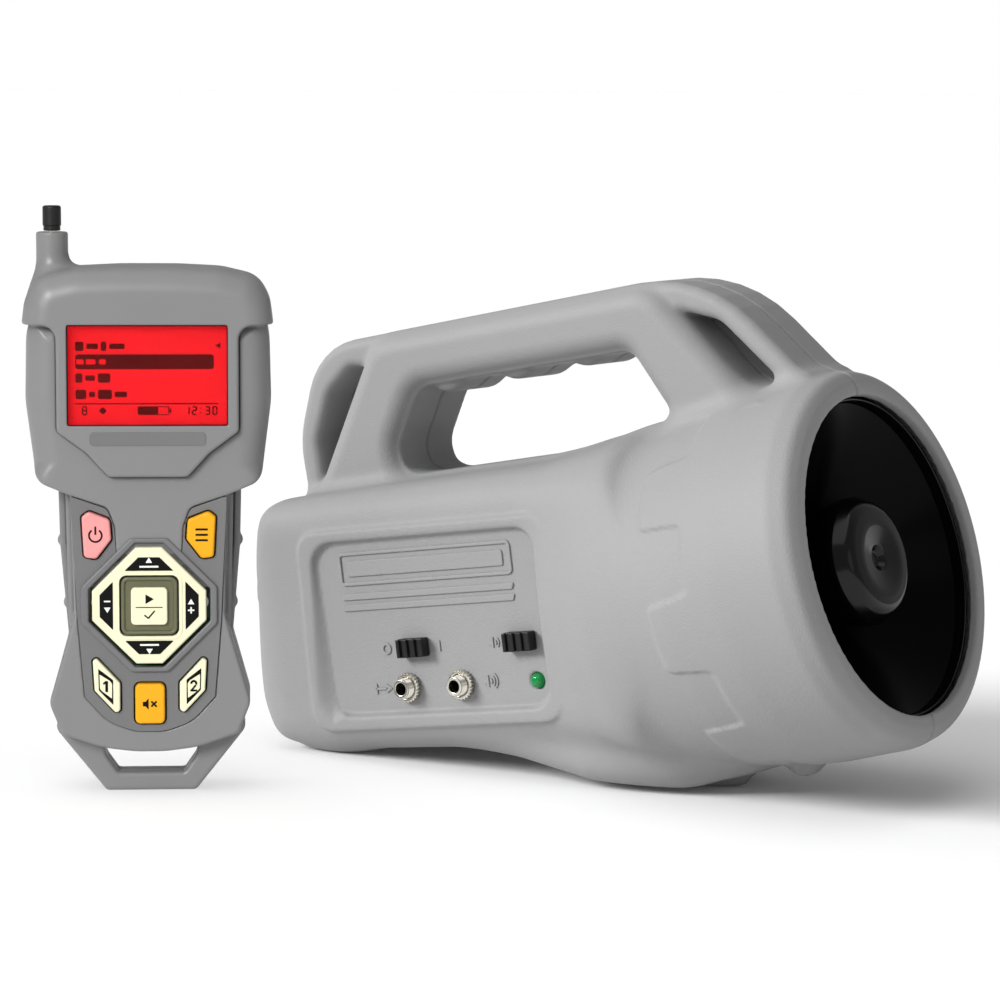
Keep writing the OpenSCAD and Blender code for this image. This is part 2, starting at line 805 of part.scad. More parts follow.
module direction_pad() {
  color([0.88, 0.86, 0.72])
    remote_frame()
      difference() {
        slab(octagon(16.1, 16.6, 20.3, 0.8), -13.6, pad_back);
        slab(box_outline(-8.6, pad_z - 8.9, 8.6, pad_z + 8.9, 2), -15, pad_back + 1);
      }
}
module select_key() {
  color([0.45, 0.44, 0.36])
    remote_frame()
      slab(select_outline, -14, key_back);
}
module select_cap() {
  color([0.9, 0.88, 0.76])
    remote_frame()
      slab(box_outline(-5, pad_z - 5.2, 5, pad_z + 5.2, 1.2), -14.6, -14);
}
module face_key(v) {
  remote_frame() {
    slab(v, -13, key_back - 0.2);
    slab(inset(v, -1), key_back - 0.7, key_back);
  }
}
module power_key() {
  color([0.92, 0.62, 0.6]) face_key(power_outline);
}
module menu_key() {
  color([0.95, 0.7, 0.25]) face_key(flipped(power_outline));
}
module key_one() {
  color([0.9, 0.88, 0.76]) face_key(one_outline);
}
module key_two() {
  color([0.9, 0.88, 0.76]) face_key(flipped(one_outline));
}
module mute_key() {
  color([0.95, 0.7, 0.25]) face_key(mute_outline);
}
module remote_board() {
  color("darkgreen")
    remote_frame() {
      slab(box_outline(-16.5, 27, 16.5, 98.5, 1), board_front, board_front + 1.6);
      slab(box_outline(-26, 98, 26, 136, 1), board_front, board_front + 1.6);
    }
}
dome_places = [
  [-14, 73.3], [14, 73.3], [-12, 31], [12, 31], [0, 26.1], [0, pad_z],
  [-14.2, pad_z], [14.2, pad_z], [0, pad_z - 14.4], [0, pad_z + 14.4]
];
module remote_key_domes() {
  color("silver")
    remote_frame()
      for (p = dome_places)
        rod_y(p[0], p[1], board_front - dome_h, board_front, 2);
}
module antenna_base() {
  color("silver")
    remote_frame()
      difference() {
        antenna_bore(2.7, 95, 155.6);
        antenna_bore(2.2, 94, 157);
      }
}
module antenna_middle() {
  color("silver")
    remote_frame()
      difference() {
        antenna_bore(2.12, 97, 155.9);
        antenna_bore(1.6, 96, 157);
      }
}
module antenna_tip() {
  color("silver")
    remote_frame()
      antenna_bore(1.52, 99, 157);
}
module antenna_cap() {
  color([0.03, 0.03, 0.03])
    remote_frame() {
      difference() {
        antenna_bore(2.35, 156.2, 157.8);
        antenna_bore(1.52, 156, 157);
      }
      antenna_bore(2.56, 157.6, 163.1);
    }
}
module remote_battery_cover() {
  color(remote_grey)
    remote_frame()
      difference() {
        slab(remote_grip, remote_rear - 1.8, remote_rear);
        for (k = [0:4])
          slab(box_outline(-7, 72 + 2 * k, 7, 73 + 2 * k, 0), remote_rear - 0.7, remote_rear + 1);
      }
}
module remote_cells() {
  color("gold")
    remote_frame()
      for (x = [-11.5, 0, 11.5])
        translate([x, 6, 38.6]) {
          cylinder(h = 43.7, r = 5.2);
          cylinder(h = 44.5, r = 1.9);
        }
}
module remote_contacts() {
  color("silver")
    remote_frame()
      for (x = [-11.5, 0, 11.5])
        for (z = [37.6, 83.2])
          translate([x - 4, 2, z])
            cube([8, 8, 0.9]);
}

shell_right();
shell_left();
shell_screws();
horn_bell();
horn_reflector();
horn_gasket();
driver_cap();
driver_magnet();
driver_yoke();
driver_top_plate();
driver_diaphragm();
control_board();
board_parts();
radio_receiver();
receiver_aerial();
board_screws();
power_switch_base();
power_switch_knob();
speaker_switch_base();
speaker_switch_knob();
aux_jack_body();
aux_jack_nut();
speaker_jack_body();
speaker_jack_nut();
status_lamp();
battery_tray();
battery_cells();
battery_contacts();
battery_door();
speaker_leads();
battery_leads();
remote_hood();
remote_front_case();
remote_back_case();
remote_window();
remote_display();
remote_key_plate();
pad_surround();
pad_rocker();
direction_pad();
select_key();
select_cap();
power_key();
menu_key();
key_one();
key_two();
mute_key();
remote_board();
remote_key_domes();
antenna_base();
antenna_middle();
antenna_tip();
antenna_cap();
remote_battery_cover();
remote_cells();
remote_contacts();
remote_screws();
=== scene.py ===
"""Looks of an outdoor game caller and its handheld remote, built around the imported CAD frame."""

import json
import math

import bpy
import numpy as np
from mathutils import Matrix, Vector
from mathutils.geometry import tessellate_polygon

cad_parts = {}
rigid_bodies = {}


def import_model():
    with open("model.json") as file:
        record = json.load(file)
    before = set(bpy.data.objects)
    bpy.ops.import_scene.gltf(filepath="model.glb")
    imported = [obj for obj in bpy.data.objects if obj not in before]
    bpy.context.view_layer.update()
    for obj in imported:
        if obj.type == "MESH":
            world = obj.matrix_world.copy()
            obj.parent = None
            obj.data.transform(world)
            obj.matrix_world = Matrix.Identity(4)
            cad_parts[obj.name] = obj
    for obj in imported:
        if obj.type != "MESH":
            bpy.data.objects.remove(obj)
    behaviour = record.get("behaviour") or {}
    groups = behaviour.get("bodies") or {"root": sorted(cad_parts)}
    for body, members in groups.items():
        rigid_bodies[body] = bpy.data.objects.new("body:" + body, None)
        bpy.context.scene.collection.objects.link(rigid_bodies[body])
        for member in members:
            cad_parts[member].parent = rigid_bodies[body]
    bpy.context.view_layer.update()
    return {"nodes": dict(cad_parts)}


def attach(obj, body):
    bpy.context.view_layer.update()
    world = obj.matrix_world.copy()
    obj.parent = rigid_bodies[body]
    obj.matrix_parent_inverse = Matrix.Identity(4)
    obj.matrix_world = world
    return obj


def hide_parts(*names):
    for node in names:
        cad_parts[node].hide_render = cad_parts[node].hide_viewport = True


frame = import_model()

MM = 0.001
FLOAT = np.float32
QUARTER = math.pi / 2

# ------------------------------------------------------------------ frames (mm, radians), as in the CAD
PITCH = math.radians(8.5)
HORN_PITCH = math.radians(16)
REMOTE_TURN = math.radians(39)
HOUSING_AT = (-46.0, 43.5)
MOUTH_AT = (81.4, 69.9)
REMOTE_AT = (-98.0, -98.0)
HALF_W = 37.0
WALL = 3.0
PANEL_Y = -35.2


def frame_at(x, y, z, angle, axis):
    """A frame in mm, turned about an axis and set at a point, to the row frame in metres."""
    turn = Matrix.Rotation(angle, 4, axis)
    return Matrix.Translation((x * MM, y * MM, z * MM)) @ turn @ Matrix.Scale(MM, 4)


# the housing has u forward, y left and w up; the horn has z along its axis, ahead of the mouth;
# the remote has x right, y away from its face and z up
CALLER = Matrix.Scale(MM, 4)
HOUSING = frame_at(HOUSING_AT[0], 0, HOUSING_AT[1], -PITCH, "Y")
HORN = frame_at(MOUTH_AT[0], 0, MOUTH_AT[1], QUARTER - HORN_PITCH, "Y")
REMOTE = frame_at(*REMOTE_AT, 0, REMOTE_TURN, "Z")


def pitched(x, z, origin, angle):
    """World x and z in a frame at a point, turned nose-up by an angle."""
    a, b = x - origin[0], z - origin[1]
    return a * math.cos(angle) + b * math.sin(angle), b * math.cos(angle) - a * math.sin(angle)


# ------------------------------------------------------------------ outlines: [x, z, corner radius]
def sides_at(outline, i):
    """The unit ways into and out of a corner, and its point."""
    p = np.array(outline[i][:2], float)
    e = p - outline[i - 1][:2]
    f = np.array(outline[(i + 1) % len(outline)][:2], float) - p
    return p, e / np.linalg.norm(e), f / np.linalg.norm(f)


def ring_of(outline, steps=5, least=0.05):
    """A rounded outline's points, and the way out at each if it is listed counter-clockwise."""
    points, ways = [], []
    for i, vertex in enumerate(outline):
        p, e, f = sides_at(outline, i)
        bend = math.atan2(e[0] * f[1] - e[1] * f[0], e @ f)
        r = max(vertex[2] if len(vertex) > 2 else 0, least)
        if abs(bend) < 0.02 or r <= 0:
            points.append(p)
            ways.append(np.array((e[1] + f[1], -e[0] - f[0])) / 2)
            continue
        start_way = np.array((e[1], -e[0]))
        side = 1 if bend > 0 else -1
        centre = p - e * r * math.tan(abs(bend) / 2) - side * start_way * r
        corner_steps = steps if r > 0.3 or not least else 2
        for k in range(corner_steps + 1):
            c, s = math.cos(bend * k / corner_steps), math.sin(bend * k / corner_steps)
            way = np.array((start_way[0] * c - start_way[1] * s, start_way[0] * s + start_way[1] * c))
            points.append(centre + side * way * r)
            ways.append(way)
    return np.array(points), np.array(ways)


def grown(outline, t):
    """An outline moved outwards by t, corner by corner."""
    out = []
    for i, vertex in enumerate(outline):
        p, e, f = sides_at(outline, i)
        shift = np.array((e[1] + f[1], -e[0] - f[0])) * t / (1 + e @ f)
        convex = e[0] * f[1] - e[1] * f[0] > 0
        out.append([p[0] + shift[0], p[1] + shift[1], max(0.1, vertex[2] + (t if convex else -t))])
    return out


def flipped(outline):
    return [[-v[0], *v[1:]] for v in reversed(outline)]


def mirrored(outline):
    """Points on the left, listed top to bottom, and the same on the right."""
    return outline + flipped(outline)


def box_outline(x0, z0, x1, z1, r):
    return [[x0, z0, r], [x1, z0, r], [x1, z1, r], [x0, z1, r]]


def box_about(x, z, half_x, half_z, r):
    return box_outline(x - half_x, z - half_z, x + half_x, z + half_z, r)


def circle(x, z, r, count=8):
    """A circle as a corner-rounded outline."""
    k = r / math.cos(math.pi / count)
    turns = [2 * math.pi * i / count for i in range(count)]
    return [[x + k * math.cos(a), z + k * math.sin(a), r * 0.98] for a in turns]


# ------------------------------------------------------------------ distance fields (mm, negative inside)
def polygon(x, z, outline):
    """Signed distance to a rounded outline."""
    points = ring_of(outline, 6, 0)[0].astype(FLOAT)
    x, z = np.broadcast_arrays(x, z)
    near = np.full(x.shape, 1e12, FLOAT)
    odd = np.zeros(x.shape, bool)
    for (ax, az), (bx, bz) in zip(points, np.roll(points, 1, axis=0), strict=True):
        ex, ez = bx - ax, bz - az
        wx, wz = x - ax, z - az
        t = np.clip((wx * ex + wz * ez) / (ex * ex + ez * ez), 0, 1)
        near = np.minimum(near, (wx - ex * t) ** 2 + (wz - ez * t) ** 2)
        above, below = z >= az, z < bz
        left = ex * wz > ez * wx
        odd ^= (above & below & left) | (~above & ~below & ~left)
    return np.where(odd, -1, 1).astype(FLOAT) * np.sqrt(near)


def both(a, b, k=0.0):
    """Where both a and b are solid, with the edge between them rounded over k."""
    if k <= 0:
        return np.maximum(a, b)
    h = np.maximum(k - np.abs(a - b), 0) / k
    return np.maximum(a, b) + h * h * (k / 4)


def either(a, b, k=0.0):
    """Where a or b is solid, with a fillet over k between them."""
    if k <= 0:
        return np.minimum(a, b)
    h = np.maximum(k - np.abs(a - b), 0) / k
    return np.minimum(a, b) - h * h * (k / 4)


def cut(a, b, k=0.0):
    """Where a is solid and b isn't."""
    return both(a, -b, k)


def corner_join(a, b, r):
    """a and b both solid, with a true round of radius r between them."""
    pa, pb = a + r, b + r
    return np.minimum(np.maximum(pa, pb), 0) + np.hypot(np.maximum(pa, 0), np.maximum(pb, 0)) - r


def prism(flat, y, half, r):
    """An outline's distance carried along y to both sides, with its edges rounded to r."""
    return corner_join(flat, np.abs(y) - half, r)


def revolved(profile, ring, s, low, high, step=0.25):
    """Distance to a [radius, along] profile turned about its axis, by way of a fine table of the profile."""
    outline = profile + [[-v[0], *v[1:]] for v in reversed(profile[1:-1])]
    xs = np.arange(-60, 62, step, dtype=FLOAT)
    zs = np.arange(low, high, step, dtype=FLOAT)
    values = polygon(xs[:, None], zs[None, :], outline)
    fx = np.clip((ring + 60) / step, 0, values.shape[0] - 1.001)
    fz = np.clip((s - low) / step, 0, values.shape[1] - 1.001)
    ix, iz = fx.astype(np.int32), fz.astype(np.int32)
    fx, fz = fx - ix, fz - iz
    near = values[ix, iz] * (1 - fz) + values[ix, iz + 1] * fz
    far = values[ix + 1, iz] * (1 - fz) + values[ix + 1, iz + 1] * fz
    return near * (1 - fx) + far * fx


def axes(low, high, step):
    """Grid coordinates on each axis, shaped to broadcast."""
    x, y, z = (np.arange(a, b + step, step, dtype=FLOAT) for a, b in zip(low, high, strict=True))
    return x[:, None, None], y[None, :, None], z[None, None, :]


# ------------------------------------------------------------------ a field's surface as a mesh
CORNERS = [np.array([i, j, k]) for i in (0, 1) for j in (0, 1) for k in (0, 1)]


def trilinear(field, spots):
    """The field's value at spots given in cells."""
    spots = np.clip(spots, 0, np.array(field.shape) - 1.001)
    base = spots.astype(np.int64)
    t = spots - base
    value = np.zeros(len(spots))
    for corner in CORNERS:
        weight = np.prod(np.abs(1 - corner - t), axis=1)
        value += weight * field[tuple((base + corner).T)]
    return value


def crossings(field, cells):
    """The mean place, in cells, at which the field crosses zero on each cell's edges."""
    total, hits = np.zeros((len(cells), 3)), np.zeros(len(cells))
    for a in CORNERS:
        for axis in np.flatnonzero(a == 0):
            b = a.copy()
            b[axis] = 1
            da, db = field[tuple((cells + a).T)], field[tuple((cells + b).T)]
            crossed = (da < 0) != (db < 0)
            t = np.where(crossed, da / np.where(crossed, da - db, 1), 0)
            total += crossed[:, None] * (a + t[:, None] * (b - a))
            hits += crossed
    return cells + total / hits[:, None]


def slope_of(field, spots, reach=0.6):
    """The unit way in which the field rises fastest."""
    slope = np.zeros((len(spots), 3))
    for axis in range(3):
        for way in (-1, 1):
            aside = spots.copy()
            aside[:, axis] += reach * way
            slope[:, axis] += way * trilinear(field, aside)
    return slope / (np.linalg.norm(slope, axis=1)[:, None] + 1e-9)


def quads_of(inside, index):
    """A quad round each grid edge that goes through the surface, from its four cells' points."""
    quads = []
    for axis in range(3):
        first = [slice(1, n - 1) for n in inside.shape]
        first[axis] = slice(0, inside.shape[axis] - 1)
        second = list(first)
        second[axis] = slice(1, inside.shape[axis])
        a, b = inside[tuple(first)], inside[tuple(second)]
        eu, ev = np.roll(np.eye(3, dtype=int), -1 - axis, axis=0)[:2]
        for mask, forward in ((a & ~b, True), (~a & b, False)):
            p = np.argwhere(mask) + eu + ev
            ring = [index[tuple((p - o).T)] for o in (eu + ev, ev, 0 * eu, eu)]
            quads.append(np.stack(ring if forward else ring[::-1], 1))
    return np.concatenate(quads)


def surface_of(field, low, step):
    """Points, quads and normals where a gridded field is zero: one point in each cell it crosses."""
    inside = field < 0
    cells_shape = tuple(n - 1 for n in field.shape)
    count = np.zeros(cells_shape, np.int8)
    for c in CORNERS:
        count += inside[tuple(slice(a, a + n) for a, n in zip(c, cells_shape, strict=True))]
    cells = np.argwhere((count > 0) & (count < 8))
    index = np.full(cells_shape, -1, np.int64)
    index[tuple(cells.T)] = np.arange(len(cells))
    local = crossings(field, cells)
    slope = slope_of(field, local)
    for _ in range(2):
        local -= slope * np.clip(trilinear(field, local) / step, -0.35, 0.35)[:, None]
    return np.array(low) + step * local, quads_of(inside, index), slope


def quad_mesh(name, points, quads, normals):
    mesh = bpy.data.meshes.new(name)
    mesh.vertices.add(len(points))
    mesh.vertices.foreach_set("co", np.asarray(points, FLOAT).ravel())
    mesh.loops.add(quads.size)
    mesh.loops.foreach_set("vertex_index", quads.astype(np.int32).ravel())
    mesh.polygons.add(len(quads))
    mesh.polygons.foreach_set("loop_start", np.arange(0, quads.size, quads.shape[1], dtype=np.int32))
    mesh.polygons.foreach_set("use_smooth", np.ones(len(quads), bool))
    mesh.update(calc_edges=True)
    mesh.normals_split_custom_set_from_vertices(normals.tolist())
    return mesh


def shell(name, field, low, step, place, body, finish, node, mirror=False):
    """A field's surface as a piece. mirror turns it over to the other side of y = 0."""
    points, quads, normals = surface_of(field, low, step)
    if mirror:
        points[:, 1] *= -1
        normals[:, 1] *= -1
        quads = quads[:, ::-1]
    m = np.array(place)
    turn = m[:3, :3] / np.linalg.norm(m[:3, 0])
    mesh = quad_mesh(name, points @ m[:3, :3].T + m[:3, 3], quads, normals @ turn.T)
    return link(name, mesh, body, finish, (node,))


def link(name, mesh, body, finish, nodes):
    """A finished mesh as a piece that rides on a body and stands for CAD nodes."""
    thing = bpy.data.objects.new(name, mesh)
    bpy.context.scene.collection.objects.link(thing)
    mesh.materials.append(finish)
    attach(thing, body)
    if nodes:
        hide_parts(*nodes)
    return thing


# ------------------------------------------------------------------ exact shapes: points, faces, normals in mm
def cap_faces(points, loops, front):
    """Triangles over a flat end that is bounded by loops of point numbers."""
    flat = [i for loop in loops for i in loop]
    shape = [[Vector((points[i][0], points[i][2], 0)) for i in loop] for loop in loops]
    for t in tessellate_polygon(shape):
        a, b, c = (flat[i] for i in t)
        (ax, _, az), (bx, _, bz), (cx, _, cz) = points[a], points[b], points[c]
        turn = (bx - ax) * (cz - az) - (bz - az) * (cx - ax)
        yield (a, b, c) if (turn > 0) == front else (c, b, a)


def slab(outlines, y0, y1, front=0.3, back=None):
    """An outline, and any holes in it, between two y planes, with rounded edges of their own size."""
    back = front if back is None else back
    tilts = np.linspace(0, QUARTER, 4)
    rows = [(front * (1 - math.sin(a)), y0 + front * (1 - math.cos(a)), a, -1) for a in tilts]
    rows += [(back * (1 - math.sin(a)), y1 - back * (1 - math.cos(a)), a, 1) for a in tilts[::-1]]
    points, normals, faces, fronts, backs = [], [], [], [], []
    for number, outline in enumerate(outlines):
        ring, ways = ring_of(outline)
        if number:
            ring, ways = ring[::-1], -ways[::-1]
        count, first = len(ring), len(points)
        for shift, y, a, end in rows:
            for p, n in zip(ring - ways * shift, ways, strict=True):
                points.append((p[0], y, p[1]))
                normals.append((n[0] * math.sin(a), end * math.cos(a), n[1] * math.sin(a)))
        for low in range(first, len(points) - count, count):
            for k in range(count):
                m = (k + 1) % count
                faces.append((low + k, low + count + k, low + count + m, low + m))
        fronts.append(range(first, first + count))
        backs.append(range(len(points) - count, len(points)))
    faces += [*cap_faces(points, fronts, True), *cap_faces(points, backs, False)]
    return points, faces, normals


def box_slab(x, z, half_x, half_z, r, y0, y1, front=0.3, back=None):
    return slab([box_about(x, z, half_x, half_z, r)], y0, y1, front, back)


def turned(profile, steps=64, corner_steps=4, flute=None):
    """A closed [radius, along] profile, counter-clockwise, turned about the z axis.

    flute is (how many, their depth, the radius from which they are cut).
    """
    on_axis = 0.0251
    points, normals, faces, rows = [], [], [], []
    angles = np.arange(steps) * 2 * math.pi / steps
    for (r, s), (nr, ns) in zip(*ring_of(profile, corner_steps), strict=True):
        if r < on_axis:
            rows.append([len(points)])
            points.append((0, 0, s))
            normals.append((0, 0, 1 if ns > 0 else -1))
            continue
        rows.append(range(len(points), len(points) + steps))
        for a in angles:
            rr = r
            if flute and r > flute[2]:
                rr -= flute[1] * (0.5 - 0.5 * math.cos(flute[0] * a))
            points.append((rr * math.cos(a), rr * math.sin(a), s))
            normals.append((nr * math.cos(a), nr * math.sin(a), ns))
    for a, b in zip(rows, rows[1:] + rows[:1], strict=True):
        for i in range(steps):
            j = (i + 1) % steps
            if len(a) > 1 and len(b) > 1:
                faces.append((a[i], a[j], b[j], b[i]))
            elif len(b) > 1:
                faces.append((a[0], b[j], b[i]))
            elif len(a) > 1:
                faces.append((a[i], a[j], b[0]))
    return points, faces, normals


def moved(shape, matrix):
    """A shape turned and moved, still in mm."""
    points, faces, normals = shape
    turn = matrix.to_3x3()
    return [tuple(matrix @ Vector(p)) for p in points], faces, [tuple(turn @ Vector(n)) for n in normals]


def along_y(x, z):
    """Where a turned shape's z axis becomes y, through a point."""
    return Matrix.Translation((x, 0, z)) @ Matrix.Rotation(-QUARTER, 4, "X")


def piece(name, shapes, place, body, finish, *nodes, slot=None, sharp=False):
    """One object from several shapes, which place takes from mm to the row frame."""
    points, faces, normals = [], [], []
    turn = place.to_3x3().normalized()
    for more_points, more_faces, more_normals in shapes:
        first = len(points)
        points += [tuple(place @ Vector(p)) for p in more_points]
        normals += [tuple(turn @ Vector(n)) for n in more_normals]
        faces += [tuple(first + i for i in f) for f in more_faces]
    used = sorted({i for f in faces for i in f})
    place_of = {old: new for new, old in enumerate(used)}
    faces = [tuple(place_of[i] for i in f) for f in faces]
    mesh = bpy.data.meshes.new(name)
    mesh.from_pydata([points[i] for i in used], [], faces)
    mesh.polygons.foreach_set("use_smooth", [True] * len(faces))
    if sharp:
        mesh.set_sharp_from_angle(angle=math.radians(35))
    else:
        mesh.normals_split_custom_set_from_vertices([normals[i] for i in used])
    return link(name, mesh, body, finish, nodes)


# ------------------------------------------------------------------ materials: procedural, in object space
def mottled(name, colour, rough, shade, blotch, bump, grain, deep, rough_spread, **sockets):
    """A finish whose colour, gloss and fine surface vary over the piece.

    shade is the colour's share of change, blotch and grain are cycles in a metre, bump and deep are the
    fine surface's strength and depth in metres, and sockets are more values of the shader's own.
    """
    m = bpy.data.materials.new(name)
    m.use_nodes = True
    nodes, links = m.node_tree.nodes, m.node_tree.links
    bsdf = nodes["Principled BSDF"]
    place = nodes.new("ShaderNodeTexCoord").outputs["Object"]

    def noise(scale, detail):
        node = nodes.new("ShaderNodeTexNoise")
        node.inputs["Scale"].default_value = scale
        node.inputs["Detail"].default_value = detail
        links.new(place, node.inputs["Vector"])
        return node.outputs["Fac"]

    ramp = nodes.new("ShaderNodeValToRGB")
    for end, where, share in zip(ramp.color_ramp.elements, (0.35, 0.65), (1 - shade, 1 + shade), strict=True):
        end.position = where
        end.color = (*(min(c * share, 1) for c in colour), 1)
    links.new(noise(blotch, 5), ramp.inputs["Fac"])
    links.new(ramp.outputs["Color"], bsdf.inputs["Base Color"])
    spread = nodes.new("ShaderNodeMapRange")
    spread.inputs["To Min"].default_value = rough - rough_spread
    spread.inputs["To Max"].default_value = rough + rough_spread
    links.new(noise(blotch * 6, 3), spread.inputs["Value"])
    links.new(spread.outputs["Result"], bsdf.inputs["Roughness"])
    relief = nodes.new("ShaderNodeBump")
    relief.inputs["Strength"].default_value = bump
    relief.inputs["Distance"].default_value = deep
    links.new(noise(grain, 2), relief.inputs["Height"])
    links.new(relief.outputs["Normal"], bsdf.inputs["Normal"])
    for socket, value in sockets.items():
        bsdf.inputs[socket.replace("_", " ")].default_value = value
    return m


def plastic(name, colour, rough, *finish, shine=0.5):
    return mottled(name, colour, rough, *finish, Specular_IOR_Level=shine)


def metal(name, colour, rough, *finish):
    return mottled(name, colour, rough, *finish, Metallic=1.0)


def key_plastic(name, colour, rough, shade=0.025, blotch=60, shine=0.5, bump=0.12):
    return plastic(name, colour, rough, shade, blotch, bump, 2600, 0.0001, 0.05, shine=shine)


def display(name, colour, rough, shade, blotch, shine, **glow):
    fine = (0.03, 3000, 0.00005, 0.04)
    return mottled(name, colour, rough, shade, blotch, *fine, Specular_IOR_Level=shine, **glow)


HOUSING_GREY = plastic("housing_grey", (0.262, 0.262, 0.264), 0.55, 0.03, 9, 0.5, 2000, 0.00022, 0.05,
                       shine=0.22)
REMOTE_GREY = plastic("remote_grey", (0.172, 0.172, 0.174), 0.38, 0.02, 12, 0.2, 2600, 0.00012, 0.04)
PLATE_GREY = plastic("plate_grey", (0.125, 0.125, 0.128), 0.42, 0.03, 20, 0.25, 2600, 0.0001, 0.05)
HORN_BLACK = plastic("horn_black", (0.0008, 0.0008, 0.0009), 0.22, 0.1, 15, 0.05, 500, 0.0001, 0.03,
                     shine=0.05)
CENTRE_BLACK = plastic("horn_centre_black", (0.002, 0.002, 0.0022), 0.15, 0.1, 15, 0.03, 500, 0.0001, 0.02,
                       shine=0.3)
MATT_BLACK = plastic("matt_black", (0.006, 0.006, 0.006), 0.42, 0.1, 60, 0.25, 2200, 0.00012, 0.06, shine=0.3)
RUBBER = plastic("rubber_black", (0.01, 0.01, 0.01), 0.7, 0.12, 80, 0.4, 1800, 0.00015, 0.08)
FERRITE = plastic("ferrite", (0.035, 0.034, 0.033), 0.6, 0.15, 120, 0.5, 1500, 0.0002, 0.08)
BOARD = plastic("board_green", (0.01, 0.11, 0.035), 0.35, 0.12, 160, 0.3, 700, 0.0001, 0.08)
CHIP = plastic("chip_black", (0.016, 0.016, 0.017), 0.5, 0.1, 200, 0.3, 2600, 0.0001, 0.06)
CELL = plastic("cell_jacket", (0.55, 0.31, 0.05), 0.32, 0.06, 60, 0.08, 1200, 0.00008, 0.05)
WIRE = plastic("wire_red", (0.5, 0.02, 0.015), 0.42, 0.07, 90, 0.15, 1500, 0.0001, 0.06)
ZINC = metal("zinc", (0.6, 0.6, 0.58), 0.3, 0.06, 150, 0.12, 900, 0.0001, 0.08)
SCREW = metal("screw_black", (0.1, 0.1, 0.105), 0.36, 0.08, 150, 0.12, 900, 0.0001, 0.07)
NICKEL = metal("nickel", (0.72, 0.69, 0.62), 0.2, 0.05, 120, 0.1, 1200, 0.00008, 0.06)
COPPER = metal("copper_foil", (0.72, 0.36, 0.16), 0.35, 0.06, 140, 0.2, 1500, 0.0001, 0.08)
CAN = metal("radio_can", (0.62, 0.62, 0.62), 0.28, 0.05, 150, 0.1, 1500, 0.00008, 0.07)
CREAM = key_plastic("key_cream", (0.70, 0.68, 0.47), 0.42)
OLIVE = key_plastic("key_olive", (0.10, 0.10, 0.05), 0.4, 0.05)
PINK = key_plastic("key_pink", (0.72, 0.26, 0.25), 0.42, 0.04)
AMBER = key_plastic("key_amber", (0.70, 0.33, 0.008), 0.4, 0.03, shine=0.2)
INK = key_plastic("key_ink", (0.003, 0.003, 0.003), 0.5, 0.1, 90, 0.1, 0.08)
PAINT = key_plastic("key_print", (0.74, 0.73, 0.68), 0.5, 0.02, 90, bump=0.08)
LCD_RED = display("display_red", (0.45, 0.004, 0.006), 0.5, 0.03, 25, 0.1,
                  Emission_Color=(1.0, 0.004, 0.012, 1), Emission_Strength=0.42)
LCD_DARK = display("display_dark", (0.09, 0.001, 0.001), 0.45, 0.05, 60, 0.05)
LCD_FRAME = display("display_frame", (0.02, 0.004, 0.004), 0.45, 0.05, 60, 0.1)
GREEN_LENS = mottled("lamp_green", (0.0, 0.17, 0.035), 0.12, 0.12, 300, 0.1, 900, 0.0001, 0.04,
                     Emission_Color=(0.0, 0.6, 0.1, 1), Emission_Strength=0.06)
WINDOW = mottled("window_clear", (0.98, 0.98, 0.98), 0.04, 0.005, 30, 0.02, 300, 0.00002, 0.01,
                 Transmission_Weight=1.0, IOR=1.1)

# the CAD nodes that stay, by their finish
CARRIED = {
    SCREW: ("shell_screws", "remote_screws"),
    ZINC: ("driver_yoke", "driver_top_plate", "board_screws", "battery_contacts", "remote_contacts",
           "remote_key_domes"),
    MATT_BLACK: ("driver_cap", "power_switch_base", "speaker_switch_base", "battery_tray", "battery_leads"),
    RUBBER: ("pad_rocker", "receiver_aerial"),
    FERRITE: ("driver_magnet",),
    COPPER: ("driver_diaphragm",),
    BOARD: ("control_board", "remote_board"),
    CHIP: ("board_parts",),
    CAN: ("radio_receiver",),
    CELL: ("battery_cells", "remote_cells"),
    WIRE: ("speaker_leads",),
    NICKEL: ("antenna_base", "antenna_middle", "antenna_tip"),
    WINDOW: ("remote_window",),
}
for finish_of, nodes_of in CARRIED.items():
    for node_name in nodes_of:
        slots_of = frame["nodes"][node_name].data.materials
        slots_of.clear()
        slots_of.append(finish_of)


# ------------------------------------------------------------------ the speaker unit's housing
HOUSING_SIDE = [
    [62, -36, 0], [62, 43.9, 0], [-60, 39, 10], [-67.5, 18, 24], [-69.8, -18, 10], [-62, -30.5, 12], [-47, -36, 8],
]
HULL_SIDE = [
    [-99, 14, 0], [-97.5, 0, 4], [-84, 0, 5], [-71, 5.4, 14], [-44, 7.6, 30], [-22, 5.4, 30], [2, 1.8, 30],
    [30, 1.6, 24], [47, 7.5, 12], [55, 22, 0], [30, 34, 0], [-60, 26, 0],
]
KEEL_SIDE = [
    [-30, 20, 0], [-24, 3, 4], [-8, 0, 14], [37, 0, 5], [46, 3.4, 4], [52, 14, 0], [30, 30, 0],
]
STRAP_SIDE = [
    [-107, 58, 0], [50, 84, 0], [52, 103, 0], [61.2, 119, 0],
    [28.4, 146.2, 45], [-106.3, 118.5, 21], [-113.2, 90, 30], [-108, 66, 0],
]
LOOP_SIDE = [
    [-103, 60, 0], [60, 88, 0], [56.5, 103, 0], [13.5, 142, 14], [-84, 122.4, 12], [-107, 69, 0],
]
GRIP_HOLE = [
    [-69.5, 81.3, 8], [4, 95.2, 9], [21.6, 104.8, 4], [6.5, 123.4, 6], [-67.5, 109, 9], [-75.6, 89, 9],
]
REAR_SLOT = [
    [-102.6, 77, 0], [-84, 104, 0], [-86.5, 113, 2], [-93, 113.2, 4], [-101, 105, 10], [-105.2, 90, 8],
]
